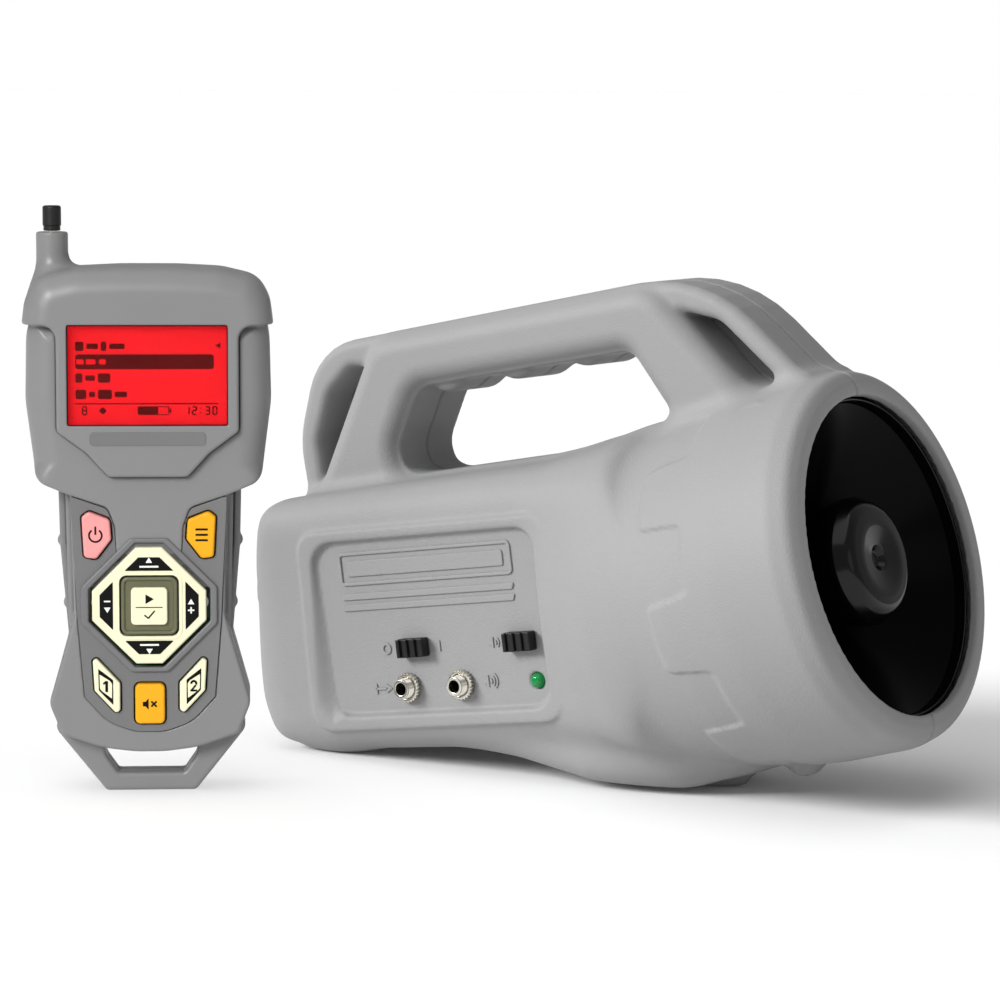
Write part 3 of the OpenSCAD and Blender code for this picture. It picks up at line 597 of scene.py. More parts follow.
FRONT_SLOT = [
    [48, 112, 2], [54, 116.5, 3], [34, 132.6, 9], [22, 134.6, 0], [22, 130, 0],
]
BELL_PROFILE = [
    [0, 2.5, 0], [45.6, 2.5, 1.2], [48, 2.4, 2], [51.3, 0.4, 4], [52.9, -5, 8], [53, -24, 40],
    [51.8, -42, 0], [49.6, -58, 30], [47, -72, 20], [42, -82, 18], [34, -92, 10], [0, -96, 0],
]
BELL_HOLLOW = [
    [0, 6, 0], [44.4, 6, 0], [44.4, -3.5, 0], [46.7, -3.5, 0], [46.7, -8.2, 0], [45, -10.5, 0], [49, -13, 2],
    [49.6, -22, 10], [48.4, -42, 0], [46, -58, 10], [43, -71, 10], [38, -81, 8], [31, -88, 8], [0, -90, 0],
]
LOBES = [(-59.5 + 24 * k, 116.2 + 5.1 * k) for k in range(3)]
LOBE_R = 8.8
RELIEF = 0.75
PANEL_OUTLINE = [[-38.4, -25, 6.5], [38.5, -25, 6], [38.5, 25, 6], [-39.6, 25, 6.5]]
PANEL_BACKING = box_outline(-45, -29.5, 42, 28.5, 6)
BAY = [-53.5, -24.3, 6.5, 27]
HINGE_AT = (35, -22)
POWER_AT, SPEAKER_AT = (-7, -6.5), (30.5, -6.5)
AUX_AT, EXT_AT, LAMP_AT = (-11, -18), (8, -18), (34, -18)
JACK_HOLE_R, LAMP_HOLE_R = 3.1, 2.3
# screws: a place, and the depth of the head's seat
PITCHED_SEATS = [(-61, 12, 31), (-61, -15, 31), (26, 36.4, 24), (26, -29, 30)]
HORN_SEATS = [(44.5, -17, 20), (-44.5, -17, 20)]
HANDLE_SEATS = [(-83, 100, 12), (24, 116, 12)]
SCREW_R, SCREW_CLEAR_R, SCREW_HEAD_R, BOSS_R = 1.55, 1.7, 3.4, 3.9


def bell_relief(s, t, y):
    """Height of the raised band behind the lip, whose rear edge is cut like battlements."""
    angle = np.degrees(np.arctan2(np.abs(y), t))
    tooth = 0.5 + 0.5 * np.tanh((np.abs((angle - 10) % 45 - 22.5) - 11.2) * 1.4)
    edge = -33 - 14 * tooth
    return RELIEF * (0.5 + 0.5 * np.tanh((s - edge) * 1.8))


def screw_places():
    """Each housing screw: world x and z, and the depth of its head's seat."""
    for u, w, seat in PITCHED_SEATS:
        c, s = math.cos(PITCH), math.sin(PITCH)
        yield HOUSING_AT[0] + u * c - w * s, HOUSING_AT[1] + u * s + w * c, seat
    for r, ahead, seat in HORN_SEATS:
        c, s = math.cos(HORN_PITCH), math.sin(HORN_PITCH)
        yield MOUTH_AT[0] + ahead * c - r * s, MOUTH_AT[1] + ahead * s + r * c, seat
    yield from HANDLE_SEATS


def box_body(y, u, w):
    side = polygon(u, w, HOUSING_SIDE)
    corner_r = np.where(w > 4, 17, 12).astype(FLOAT)
    section = corner_join(y - HALF_W, np.abs(w - 4) - 40, corner_r)
    plan = corner_join(y - HALF_W, -u - 70, 15)
    return both(both(side, plan, 5), section, 4)


def underside(x, y, z):
    """The long hull that the unit stands on, with a narrower keel below it. Both narrow towards the bell."""
    hull_w = 31 - 0.0095 * np.maximum(x - 2, 0) ** 2
    hull = corner_join(polygon(x, z, HULL_SIDE), y - hull_w, 8)
    keel_w = 15 - 0.012 * np.maximum(x - 5, 0) ** 2 - 0.004 * np.maximum(-5 - x, 0) ** 2
    keel = corner_join(polygon(x, z, KEEL_SIDE), y - keel_w, 4)
    return either(hull, keel, 3)


def carry_handle(x, y, z):
    """A wide loop with a narrower strap over it, and finger lobes under the grip."""
    hole = polygon(x, z, GRIP_HOLE)
    loop = prism(cut(polygon(x, z, LOOP_SIDE), hole), y, 17, 6.2)
    slots = np.minimum(polygon(x, z, REAR_SLOT), polygon(x, z, FRONT_SLOT))
    strap = prism(cut(polygon(x, z, STRAP_SIDE), slots), y, 13, 3)
    handle = either(loop, cut(strap, hole), 1.6)
    for lx, lz in LOBES:
        lobe = prism(np.hypot(x - lx, z - lz) - LOBE_R, y, 12, 3.2)
        handle = either(handle, lobe, 1.5)
    return handle


def with_panel(right, y, u, w):
    """The control panel: a recess with soft edges on a flat backing, slots, and holes for jacks and lamp."""
    slope = 0.7 + np.clip(-35 - u, 0, 4) / 4 * (0.2 + np.clip(25 - w, 0, 50) / 50 * 3)
    walls = polygon(u, w, PANEL_OUTLINE) - slope * np.maximum(y + PANEL_Y, 0) / 1.8
    recess = corner_join(walls, -y - PANEL_Y, 0.4)
    plate = both(polygon(u, w, PANEL_BACKING), np.maximum(y - HALF_W, HALF_W - 5 - y))
    right = cut(either(right, plate, 2), recess, 0.7)
    for slot_u, slot_w in (POWER_AT, SPEAKER_AT):
        slot = box_outline(slot_u - 4.8, slot_w - 1.6, slot_u + 1.8, slot_w + 1.6, 0.4)
        right = cut(right, polygon(u, w, slot))
    for (hole_u, hole_w), r in ((AUX_AT, JACK_HOLE_R), (EXT_AT, JACK_HOLE_R), (LAMP_AT, LAMP_HOLE_R)):
        right = cut(right, both(np.hypot(u - hole_u, w - hole_w) - r, 20 - y))
    return right


def with_bay(left, y, u, w):
    """The battery bay's opening, and an ear at each end of the door's hinge."""
    left = cut(left, both(polygon(u, w, box_outline(*BAY, 1.0)), 28 - y), 0.6)
    for start, end in ((BAY[0] - 3, BAY[0]), (BAY[2], BAY[2] + 3)):
        ear = polygon(u, w, box_outline(start, HINGE_AT[1] - 2.5, end, HINGE_AT[1] + 2.5, 0))
        left = either(left, both(ear, np.maximum(32 - y, y - 36.5)))
    return left


def caller_halves(low, high, step):
    """Fields of the right and left halves, each on its own side's grid, y counted away from the middle."""
    x, y, z = axes(low, high, step)
    u, w = pitched(x, z, HOUSING_AT, PITCH)
    s, t = pitched(x, z, MOUTH_AT, HORN_PITCH)
    ring = np.hypot(t, y)
    bell = revolved(BELL_PROFILE, ring, s, -99, 9) - bell_relief(s, t, y) + RELIEF
    tab = np.sqrt(((x - 56.8) / 6) ** 2 + (y / 6) ** 2 + ((z - 11.8) / 6) ** 2) * 6 - 6
    outer = either(box_body(y, u, w), bell, 16)
    outer = either(outer, underside(x, y, z), 5)
    outer = either(outer, tab, 2)
    outer = either(outer, carry_handle(x, y, z), 5)
    outer = both(outer, 0.02 - z, 1.2)
    inner = np.minimum(outer + WALL, revolved(BELL_HOLLOW, ring, s, -95, 9))
    right = left = cut(outer, inner, 0.8)
    for sx, sz, seat in screw_places():
        post = np.hypot(x - sx, z - sz)
        boss = both(both(post - BOSS_R, y - seat - 3), outer)
        right = cut(either(right, boss, 1), both(post - SCREW_R, y - 11))
        left = both(either(left, boss, 1), SCREW_CLEAR_R - post)
        left = cut(left, both(post - SCREW_HEAD_R, seat - y), 0.6)
    parting = 0.04 - y
    return both(with_panel(right, y, u, w), parting, 0.45), both(with_bay(left, y, u, w), parting, 0.45)


def build_housing(step):
    low, high = (-118, -2 * step, -2), (99, 55, 146)
    right, left = caller_halves(low, high, step)
    shell("caller_shell_right", right, low, step, CALLER, "caller", HOUSING_GREY, "shell_right", mirror=True)
    shell("caller_shell_left", left, low, step, CALLER, "caller", HOUSING_GREY, "shell_left")


build_housing(0.8)


# ------------------------------------------------------------------ the remote's cases and hood, in its own frame
PAD_Z = 53.7
FACE_Y, PLATE_Y, HOOD_Y, RAISED_Y = -11.0, -11.4, -14.5, -12.1
BEZEL_BACK, REAR_Y = -11.2, 13.5
CASE_WALL = 2
ANTENNA = (-26.4, 2.0)
HOOD_SIDE = mirrored([[-8, 147, 60], [-20, 146.4, 22], [-30.2, 144, 8], [-33.6, 138, 12], [-34.6, 130, 30],
                      [-34.7, 60, 0]])
HOOD_FRONT = mirrored([[-36, 150, 0], [-36, 131, 0.3], [-24.9, 131, 3.8], [-24.9, 102, 1.5], [-16.8, 96, 4],
                       [-10.8, 89.4, 2]])
SCREEN = box_outline(-21.9, 103.6, 21.9, 131.1, 0.4)
WINDOW_SEAT = box_outline(-23.1, 102.4, 23.1, 132.3, 0.8)
SCREEN_HOLE = box_outline(-22.4, 103.1, 22.4, 131.6, 0.5)
SHOULDER = [[-32.2, 133, 0], [-33.4, 128, 20], [-33.8, 110, 30], [-31, 88, 5]]
BASE_SIDE = [[-27.9, 26, 5], [-24.4, 17.2, 2], [-13, 13.3, 30], [-4, 12.2, 30]]
WIDE_SIDE = mirrored([*SHOULDER, [-21.7, 84.2, 0], [-11.3, 80.7, 2.6], [-9.4, 75.4, 3], [-8.9, 60, 0]])
NECK_SIDE = mirrored([[-21.8, 95, 0], [-20.7, 51, 0], *BASE_SIDE])
REAR_WIDE = mirrored([*SHOULDER, [-21, 84, 0]])
REAR_NECK = mirrored([[-25.6, 95, 0], [-25, 69, 0], [-22.9, 44, 4], *BASE_SIDE])
CAP_SIDE = mirrored([[-19.3, 143.6, 6], [-29.6, 139.8, 6], [-32, 134.5, 3], [-32, 120, 0]])
CAP_FROM_Z = 130.6
LANYARD_SIDE = mirrored([[-24, 22, 0], [-27.2, 18.5, 3], [-12.5, 0, 1.6]])
LANYARD_GAP = mirrored([[-13, 16, 0], [-12.6, 10.2, 4], [-9.2, 5.3, 1]])
CASE_SCREWS = [(-22, 91), (22, 91), (-20, 24), (20, 24)]
# nibs on the back case's sides: x, z
SIDE_NIBS = [(23.4, 52.5), (24.9, 70.1)]
GRIP_PANEL = box_outline(-17, 38, 17, 83, 2)
PLATE = [
    [-21.5, 83.9, 0.5], [-20.1, 57, 3], [-19.8, 50, 3], [-17.95, 27.8, 1.5], [-11.5, 20.8, 12], [-4, 18.1, 14],
    [4, 18.1, 14], [11.5, 20.8, 12], [17.95, 27.8, 1.5], [19.8, 50, 3], [20.1, 57, 3], [21.5, 83.9, 0.5],
    [11.4, 80.4, 2.6], [9.5, 75.3, 3], [9.0, 68, 0.3], [-9.0, 68, 0.3], [-9.5, 75.3, 3], [-11.4, 80.4, 2.6],
]
POWER_KEY = [[-17.9, 67, 1.2], [-14.4, 66.5, 1.5], [-10.2, 72, 1.5], [-10.6, 77.6, 1.5], [-16.5, 79.9, 1.5],
             [-18.5, 78.3, 1]]
ONE_KEY = [[-15.3, 29.8, 1.2], [-9.2, 23.2, 1], [-8.1, 24.5, 0.6], [-8.1, 32, 1], [-14.6, 39, 0.8],
           [-15.8, 38.2, 0.6]]
MENU_KEY, TWO_KEY = flipped(POWER_KEY), flipped(ONE_KEY)
MUTE_KEY = box_outline(-4.2, 20.4, 4.2, 31.8, 1.5)
KEY_HOLES = [POWER_KEY, MENU_KEY, ONE_KEY, TWO_KEY, MUTE_KEY]


def octagon(hx, hz, s, r):
    """Eight sides about the pad's centre: half sizes, and how far out along each axis the slants meet."""
    return [[a, b + PAD_Z, r] for a, b in (
        (hx, hx - s), (hx, s - hx), (s - hz, hz), (hz - s, hz),
        (-hx, s - hx), (-hx, hx - s), (hz - s, -hz), (s - hz, -hz))]


RING_HOLE = octagon(16.7, 17.3, 21.2, 1)


def blend_in(z, low, high):
    t = np.clip((z - low) / (high - low), 0, 1)
    return t * t * (3 - 2 * t)


def from_antenna(x, y):
    return np.hypot(x - ANTENNA[0], y - ANTENNA[1])


def hood_field(x, y, z):
    """The screen's hood: a rounded cap with a bezel in front, a window's seat and the antenna's tube."""
    side = polygon(x, z, HOOD_SIDE)
    big = corner_join(side, np.abs(y + 0.35) - 14.15, 7.5)
    front = np.maximum(polygon(x, z, HOOD_FRONT), y - BEZEL_BACK)
    solid = corner_join(big, np.minimum(front, 131 - z), 0.7)
    tube = corner_join(from_antenna(x, y) - 4.4, np.abs(z - 145.4) - 10.5, 0.5)
    solid = either(solid, tube, 5)
    inner = corner_join(side + CASE_WALL, np.maximum(BEZEL_BACK - y, y - 12.3), 5.5)
    solid = cut(solid, np.maximum(inner, 129 - z))
    solid = cut(solid, both(polygon(x, z, WINDOW_SEAT), HOOD_Y + 1.0 - y))
    solid = cut(solid, polygon(x, z, SCREEN))
    return both(solid, 2.8 - from_antenna(x, y), 0.3)


def with_ends(solid, inner, x, y, z):
    """A case's solid with the lanyard loop, hollowed, and the antenna's way out through its top."""
    loop = cut(polygon(x, z, LANYARD_SIDE), polygon(x, z, LANYARD_GAP))
    solid = either(solid, corner_join(loop, np.abs(y) - 4.6, 1.2), 1.2)
    return cut(cut(solid, inner), np.maximum(from_antenna(x, y) - 2.9, 128 - z))


def front_field(x, y, z):
    """The front case: a wide head, a raised tongue down the neck, openings for screen, keys and plate."""
    upper = blend_in(z, 86, 94)
    wide_side, neck_side, cap_side = (polygon(x, z, side) for side in (WIDE_SIDE, NECK_SIDE, CAP_SIDE))
    wide = corner_join(wide_side, RAISED_Y - y, 0.7 + 6.8 * upper)
    neck = corner_join(neck_side, FACE_Y - y, 0.9)
    outer = either(np.maximum(wide, y - 0.5), neck)
    outer = np.where(z > CAP_FROM_Z, corner_join(cap_side, FACE_Y - y, 3), outer)
    rails = np.hypot(np.abs(x) - (22.4 - 0.022 * (84 - z)), y + 3.6) - 0.9
    outer = either(outer, np.maximum(rails, np.maximum(z - 84, 47 - z)), 0.5)
    inner = np.minimum(np.minimum(wide_side, neck_side), cap_side) + CASE_WALL
    inner = corner_join(inner, FACE_Y + CASE_WALL - y, 0.3 + 5.2 * upper)
    solid = with_ends(outer, inner, x, y, z)
    for sx, sz in CASE_SCREWS:
        post = np.hypot(x - sx, z - sz)
        solid = either(solid, both(both(post - 3, FACE_Y + 1 - y), outer), 0.5)
        solid = cut(solid, both(post - 1.25, -7.5 - y))
    solid = cut(solid, np.maximum(polygon(x, z, HOOD_FRONT) - 0.12, y - BEZEL_BACK - 0.08))
    holes = polygon(x, z, RING_HOLE)
    for outline in KEY_HOLES:
        holes = np.minimum(holes, polygon(x, z, outline) - 0.4)
    for opening in (polygon(x, z, SCREEN_HOLE), holes):
        solid = cut(solid, opening)
    solid = cut(solid, np.maximum(polygon(x, z, PLATE) - 0.08, y + 10.25))
    return both(solid, y + 0.04, 0.2)


def back_field(x, y, z):
    """The back case: a wide head on a neck, nibs at the sides, grip grooves, and the battery cover's seat."""
    wide, neck, cap_side = (polygon(x, z, side) for side in (REAR_WIDE, REAR_NECK, CAP_SIDE))
    neck_r = 3.5 + 2 * blend_in(z, 78, 90)
    outer = np.minimum(corner_join(wide, y - REAR_Y, 5.5), corner_join(neck, y - REAR_Y, neck_r))
    outer = np.where(z > CAP_FROM_Z, corner_join(cap_side, y - 12.1, 4), outer)
    inner = np.minimum(np.minimum(wide, neck), cap_side) + CASE_WALL
    inner = corner_join(inner, y - REAR_Y + CASE_WALL, 3)
    low_nib, high_nib = (np.sqrt((np.abs(x) - nib_x) ** 2 + (y - 2.4) ** 2 + ((z - nib_z) / 1.5) ** 2) - 0.95
                         for nib_x, nib_z in SIDE_NIBS)
    outer = either(outer, np.minimum(low_nib, high_nib), 0.6)
    solid = with_ends(outer, inner, x, y, z)
    for sx, sz in CASE_SCREWS:
        post = np.hypot(x - sx, z - sz)
        solid = either(solid, both(both(post - 3.6, 0.04 - y), outer), 0.5)
        solid = both(solid, 1.4 - post)
        solid = cut(solid, both(post - 2.8, 10.9 - y), 0.5)
    panel = polygon(x, z, GRIP_PANEL)
    seat = both(both(panel - 2.2, np.abs(y - REAR_Y + 3.2) - 1.2), outer)
    solid = cut(either(solid, seat), both(panel - 0.3, REAR_Y - 2 - y))
    grips = np.abs((z - 14.5) % 3 - 1.5) - 0.45
    grips = np.maximum(np.maximum(grips, np.abs(z - 100) - 7), np.abs(x) - 12)
    solid = cut(solid, both(grips, REAR_Y - 0.6 - y, 0.4), 0.4)
    return both(solid, 0.04 - y, 0.2)


def build_cases(step):
    """The hood and both cases, each on a grid from its lowest to its highest corner."""
    for name, field, node, low, high in (
        ("remote_hood_cover", hood_field, "remote_hood", (-36, -15.5, 88), (36, 14.8, 157)),
        ("remote_case_front", front_field, "remote_front_case", (-35, -13.5, -1), (35, 1, 147)),
        ("remote_case_back", back_field, "remote_back_case", (-35, -1, -1), (35, 14.6, 147)),
    ):
        shell(name, field(*axes(low, high, step)), low, step, REMOTE, "remote", REMOTE_GREY, node)


build_cases(0.5)


# ------------------------------------------------------------------ signs printed on a face or raised from it
SEGMENT_ENDS = {"a": 2, "g": 1, "d": 0}
SEGMENT_SIDES = {"f": (-1, 1.5), "b": (1, 1.5), "e": (-1, 0.5), "c": (1, 0.5)}
SEGMENTS = {"0": "abcdef", "1": "bc", "2": "abged", "3": "abgcd", "8": "abcdefg"}


class Signs:
    """Flat shapes that stand out by thick from a face at y."""

    def __init__(self, y, thick):
        self.y, self.thick, self.shapes = y, thick, []

    def mark(self, outline, holes=()):
        self.shapes.append(slab([outline, *holes], self.y - self.thick, self.y + 0.06, 0.04))

    def bar(self, x, z, length, width, tilt=0.0):
        shape = slab([box_about(0, 0, length / 2, width / 2, width * 0.2)], -self.thick, 0.06, 0.04)
        turn = Matrix.Rotation(math.radians(tilt), 4, "Y")
        self.shapes.append(moved(shape, Matrix.Translation((x, self.y, z)) @ turn))

    def arc(self, x, z, r, width, start, end, steps=16):
        """Part of a ring, from one angle to another in degrees."""
        ways = [math.radians(start + (end - start) * k / steps) for k in range(steps + 1)]
        edge = [(r + width / 2, a) for a in ways] + [(r - width / 2, a) for a in reversed(ways)]
        self.mark([[x + far * math.cos(a), z + far * math.sin(a), 0] for far, a in edge])

    def turned_mark(self, corners, x, z, size, turn, r):
        """Corners round a point, turned anticlockwise as seen from the front, in degrees."""
        c, s = size * math.cos(math.radians(turn)), size * math.sin(math.radians(turn))
        self.mark([[x + px * c - pz * s, z + px * s + pz * c, r] for px, pz in corners])

    def triangle(self, x, z, size, turn=0):
        self.turned_mark([(-0.5, -0.4), (0.5, -0.4), (0, 0.45)], x, z, size, turn, 0.05)

    def speaker(self, x, z, size):
        k = size
        half = [[x - 0.75 * k, z - 0.3 * k, 0.05], [x - 0.4 * k, z - 0.3 * k, 0.05], [x, z - 0.75 * k, 0.05]]
        self.mark(half + [[px, 2 * z - pz, r] for px, pz, r in reversed(half)])

    def waves(self, x, z, size, count):
        for n in range(count):
            self.arc(x + 0.1 * size, z, (0.35 + 0.4 * n) * size, 0.17 * size, -48, 48, 8)

    def figure(self, char, x, z, height, width=0.2):
        """A seven-segment figure."""
        across, half = height * 0.5, height / 2
        thin = width * 0.4
        for segment in SEGMENTS[char]:
            if segment in SEGMENT_ENDS:
                self.bar(x, z + (SEGMENT_ENDS[segment] - 1) * half, across - thin, width * height)
            else:
                side, up = SEGMENT_SIDES[segment]
                self.bar(x + side * across / 2, z + (up - 1) * half, half - thin, width * height, 90)


def remote_piece(name, shapes, body, finish, *nodes):
    piece(name, shapes, REMOTE, body, finish, *nodes)


# ------------------------------------------------------------------ the remote's face, keys and display
PAD_FRONT, PAD_BACK = -13.6, -9.6
CAP_FRONT, KEY_FRONT = -14.6, -13.0
# a printed patch's half widths and reach from the pad's centre, above and below it and at its sides
PATCHES = [(6.7, 2.9, 9.75, 13.5), (6.75, 3.05, 9.95, 13.6)]


def build_plate():
    holes = [RING_HOLE] + [grown(v, 0.35) for v in KEY_HOLES]
    plate = slab([PLATE, *holes], PLATE_Y - 0.1, FACE_Y + 0.7, 0.15, 0.1)
    remote_piece("key_plate", [plate], "remote", PLATE_GREY, "remote_key_plate")
    ring = slab([octagon(18.7, 18.7, 23.8, 2), RING_HOLE], PLATE_Y - 1.3, PLATE_Y, 0.55, 0.05)
    remote_piece("pad_ring", [ring], "remote", PLATE_GREY, "pad_surround")


def build_pad():
    """The rocking pad, with a printed patch and an arrow on each side."""
    hole = box_about(0, PAD_Z, 8.15, 8.45, 2)
    pad = slab([octagon(15.7, 16.2, 19.8, 0.8), hole], PAD_FRONT, PAD_BACK, 0.6, 0.1)
    rim = slab([box_about(0, PAD_Z, 9.1, 9.4, 2.6), box_about(0, PAD_Z, 8.2, 8.5, 2)],
               PAD_FRONT - 0.18, PAD_FRONT + 0.1, 0.12, 0.02)
    remote_piece("pad_face", [pad, rim], "pad", CREAM, "direction_pad")
    patches = Signs(PAD_FRONT, 0.1)
    for turn in range(4):
        wide, narrow, inner, outer = PATCHES[turn % 2]
        corners = [(-wide, inner), (wide, inner), (narrow, outer), (-narrow, outer)]
        patches.turned_mark(corners, 0, PAD_Z, 1, 90 * turn, 0.1)
    remote_piece("pad_patches", patches.shapes, "pad", INK)
    arrows, bars = Signs(PAD_FRONT - 0.1, 0.14), Signs(PAD_FRONT - 0.1, 0.1)
    for x, z, turn in ((0, 12.7, 0), (0, -12.7, 180), (11.5, 1.1, 0), (-11.5, -1.1, 180)):
        arrows.triangle(x, PAD_Z + z, 1.8, turn)
    for side in (-1, 1):
        bars.bar(0, PAD_Z + 10.9 * side, 5.2, 0.5)
        bars.bar(11.5 * side, PAD_Z - 1.3 * side, 1.8, 0.42)
    bars.bar(11.5, PAD_Z - 1.3, 1.8, 0.42, 90)
    remote_piece("pad_arrows", arrows.shapes + bars.shapes, "pad", PAINT)


def build_select_key():
    """An olive dish with a cream cap."""
    outline = box_about(0, PAD_Z, 7.75, 8.05, 2)
    dish = slab([outline, grown(outline, -1.1)], -13.95, -12.6, 0.5, 0.1)
    floor = slab([grown(outline, -0.3)], -13.3, -8.2, 0.3, 0.2)
    remote_piece("select_dish", [dish, floor], "select", OLIVE, "select_key")
    cap = box_slab(0, PAD_Z, 5, 5.2, 1.2, CAP_FRONT, -13.2, 0.35, 0.1)
    remote_piece("select_button", [cap], "select", CREAM, "select_cap")
    signs = Signs(CAP_FRONT + 0.1, 0.16)
    signs.bar(0, PAD_Z - 0.3, 7.4, 0.26)
    signs.triangle(0.1, PAD_Z + 2.0, 2.7, -90)
    signs.bar(-0.75, PAD_Z - 2.9, 1.5, 0.42, 40)
    signs.thick = 0.165
    signs.bar(0.65, PAD_Z - 2.3, 2.8, 0.42, -50)
    remote_piece("select_icons", signs.shapes, "select", INK)


def key(body, outline, finish, node, front_edge=0.7):
    shape = slab([grown(outline, -0.1)], KEY_FRONT, -7.9, front_edge, 0.3)
    remote_piece(body + "_button", [shape], body, finish, node)


def build_keys():
    key("power", POWER_KEY, PINK, "power_key")
    key("menu", MENU_KEY, AMBER, "menu_key")
    key("mute", MUTE_KEY, AMBER, "mute_key")
    key("one", ONE_KEY, CREAM, "key_one", 0.5)
    key("two", TWO_KEY, CREAM, "key_two", 0.5)
    power = Signs(KEY_FRONT, 0.1)
    power.arc(-14.6, 73.2, 1.75, 0.5, 125, 415, 22)
    power.thick = 0.12
    power.bar(-14.6, 74.6, 2.3, 0.5, 90)
    remote_piece("power_icon", power.shapes, "power", INK)
    menu = Signs(KEY_FRONT, 0.1)
    for k in (-1, 0, 1):
        menu.bar(14.5, 73.3 + 1.5 * k, 3.4, 0.55)
    remote_piece("menu_icon", menu.shapes, "menu", INK)
    mute = Signs(KEY_FRONT, 0.1)
    mute.speaker(-0.4, 26.1, 2.1)
    mute.bar(1.07, 26.1, 2.1, 0.504, 45)
    mute.thick = 0.102
    mute.bar(1.07, 26.1, 2.1, 0.504, -45)
    remote_piece("mute_icon", mute.shapes, "mute", INK)


def build_numbers():
    """A slanted window with a numeral, on each of the two number keys."""
    window = [[-14.2, 36.1, 0.1], [-14.05, 30.0, 0.6], [-10.1, 25.9, 0.1], [-10.1, 32.9, 0.6]]
    field = [[-13.85, 34.5, 0.1], [-13.75, 30.5, 0.5], [-13.2, 29.8, 0.3], [-10.45, 27.7, 0.1],
             [-10.4, 31.8, 0.5], [-11, 32.7, 0.3]]
    one, two = Signs(KEY_FRONT, 0.08), Signs(KEY_FRONT, 0.08)
    one.mark(window, [field])
    two.mark(flipped(window), [flipped(field)])
    one.thick = two.thick = 0.1
    one.bar(-11.9, 31.1, 3.1, 0.75, 90)
    two.arc(12.1, 31.8, 0.68, 0.6, -30, 190, 12)
    two.bar(12.1, 29.8, 1.95, 0.52)
    one.thick = two.thick = 0.11
    one.bar(-12.4, 32.15, 1.1, 0.5, -45)
    two.bar(12.05, 30.6, 1.9, 0.5, -50)
    remote_piece("one_sign", one.shapes, "one", INK)
    remote_piece("two_sign", two.shapes, "two", INK)


def build_display():
    """A red display behind the hood's window, with rows of plain blocks in place of words."""
    module = box_slab(0, 117.5, 24.5, 17, 0.5, -8.9, -6.1, 0.15)
    face_y = FACE_Y - 0.1
    glass = slab([grown(SCREEN, 0.3)], face_y, -8.8, 0.15)
    remote_piece("display_glass", [glass, module], "remote", LCD_RED, "remote_display")
    dark = Signs(face_y, 0.08)
    dark.bar(-0.8, 120.95, 37.8, 4.1)
    dark.bar(-0.4, 109.4, 39.2, 0.3)
    for z, widths in ((125.2, (2.3, 3.1, 1.5, 4.2)), (116.5, (1.9, 2.6, 3.4)), (112.0, (2.9, 1.6, 3.8, 3.3))):
        x = -19.7
        for n, width in enumerate(widths):
            dark.bar(x + width / 2, z, width, 1.5 if n % 2 else 2.6)
            x += width + 0.8
    dark.triangle(19.2, 125.4, 1.7, 90)
    low_row = 107.5
    for char, x in zip("81230", (-17.3, 10.7, 12.7, 16.3, 18.3), strict=True):
        dark.figure(char, x, low_row, 2.1)
    dark.bar(-12.3, low_row, 1.6, 1.6, 45)
    for x, dz, length, width, tilt in (
        (0.0, 0, 5.6, 2.4, 0), (4.0, 1.1, 3.0, 0.22, 0), (4.0, -1.1, 3.0, 0.22, 0), (5.6, 0, 2.4, 0.25, 90),
        (6.1, 0, 1.2, 0.5, 90), (14.5, 0.7, 0.35, 0.35, 0), (14.5, -0.6, 0.35, 0.35, 0),
    ):
        dark.bar(x, low_row + dz, length, width, tilt)
    remote_piece("display_marks", dark.shapes, "remote", LCD_DARK)
    light = Signs(face_y - 0.075, 0.05)
    for x, width in ((-18.4, 2.0), (-15.5, 2.6), (-12.3, 1.8)):
        light.bar(x, 120.95, width, 1.4)
    remote_piece("display_light_marks", light.shapes, "remote", LCD_RED)
    surround = slab([grown(SCREEN, 0.15), grown(SCREEN, -0.28)], HOOD_Y + 0.75, HOOD_Y + 1.1, 0.05)
    remote_piece("display_edge", [surround], "remote", LCD_FRAME)
    blank = box_slab(0, 100, 15.9, 1.9, 1.2, HOOD_Y - 0.16, HOOD_Y + 0.3, 0.14, 0.1)
    remote_piece("blank_nameplate", [blank], "remote", PLATE_GREY)


def build_remote_back():
    cover = slab([GRIP_PANEL], REAR_Y - 1.8, REAR_Y, 0.3, 0.45)
    ribs = [box_slab(0, 72 + 2 * k, 7, 0.4, 0.35, REAR_Y + 0.02, REAR_Y + 0.32, 0.05, 0.28) for k in range(6)]
    arrow = slab([[[-3.5, 66.5, 0.4], [0, 64.2, 0.4], [3.5, 66.5, 0.4], [0, 65.6, 0.4]]],
                 REAR_Y - 0.1, REAR_Y + 0.3, 0.05, 0.2)
    remote_piece("battery_cover", [cover, *ribs, arrow], "remote_cover", REMOTE_GREY, "remote_battery_cover")


def build_antenna_cap():
    cap = turned([[0, 157.0], [1.52, 157.0], [1.55, 156.2, 0.1], [2.35, 156.2, 0.15], [2.35, 157.5, 0.1],
                  [2.56, 157.7, 0.12], [2.56, 163.1, 0.7], [0, 163.1]], 48)
    place = REMOTE @ Matrix.Translation((*ANTENNA, 0))
    piece("antenna_button", [cap], place, "antenna_end", MATT_BLACK, "antenna_cap")


build_plate()
build_pad()
build_select_key()
build_keys()
build_numbers()
build_display()
build_remote_back()
build_antenna_cap()


# ------------------------------------------------------------------ the horn, its controls and the battery door
MOUTH_R, THROAT_R, REFLECTOR_R = 44.4, 12, 16.5
FLARE_FRONT, FLARE_BACK, FLARE_POWER = -4.6, -46, 1.7
FLANGE_R, FLANGE_BACK = MOUTH_R + 1.9, FLARE_FRONT - 3.1
PANEL_BACK, BOARD_Y = -32, -21.5
SIGN_HIGH = 0.4


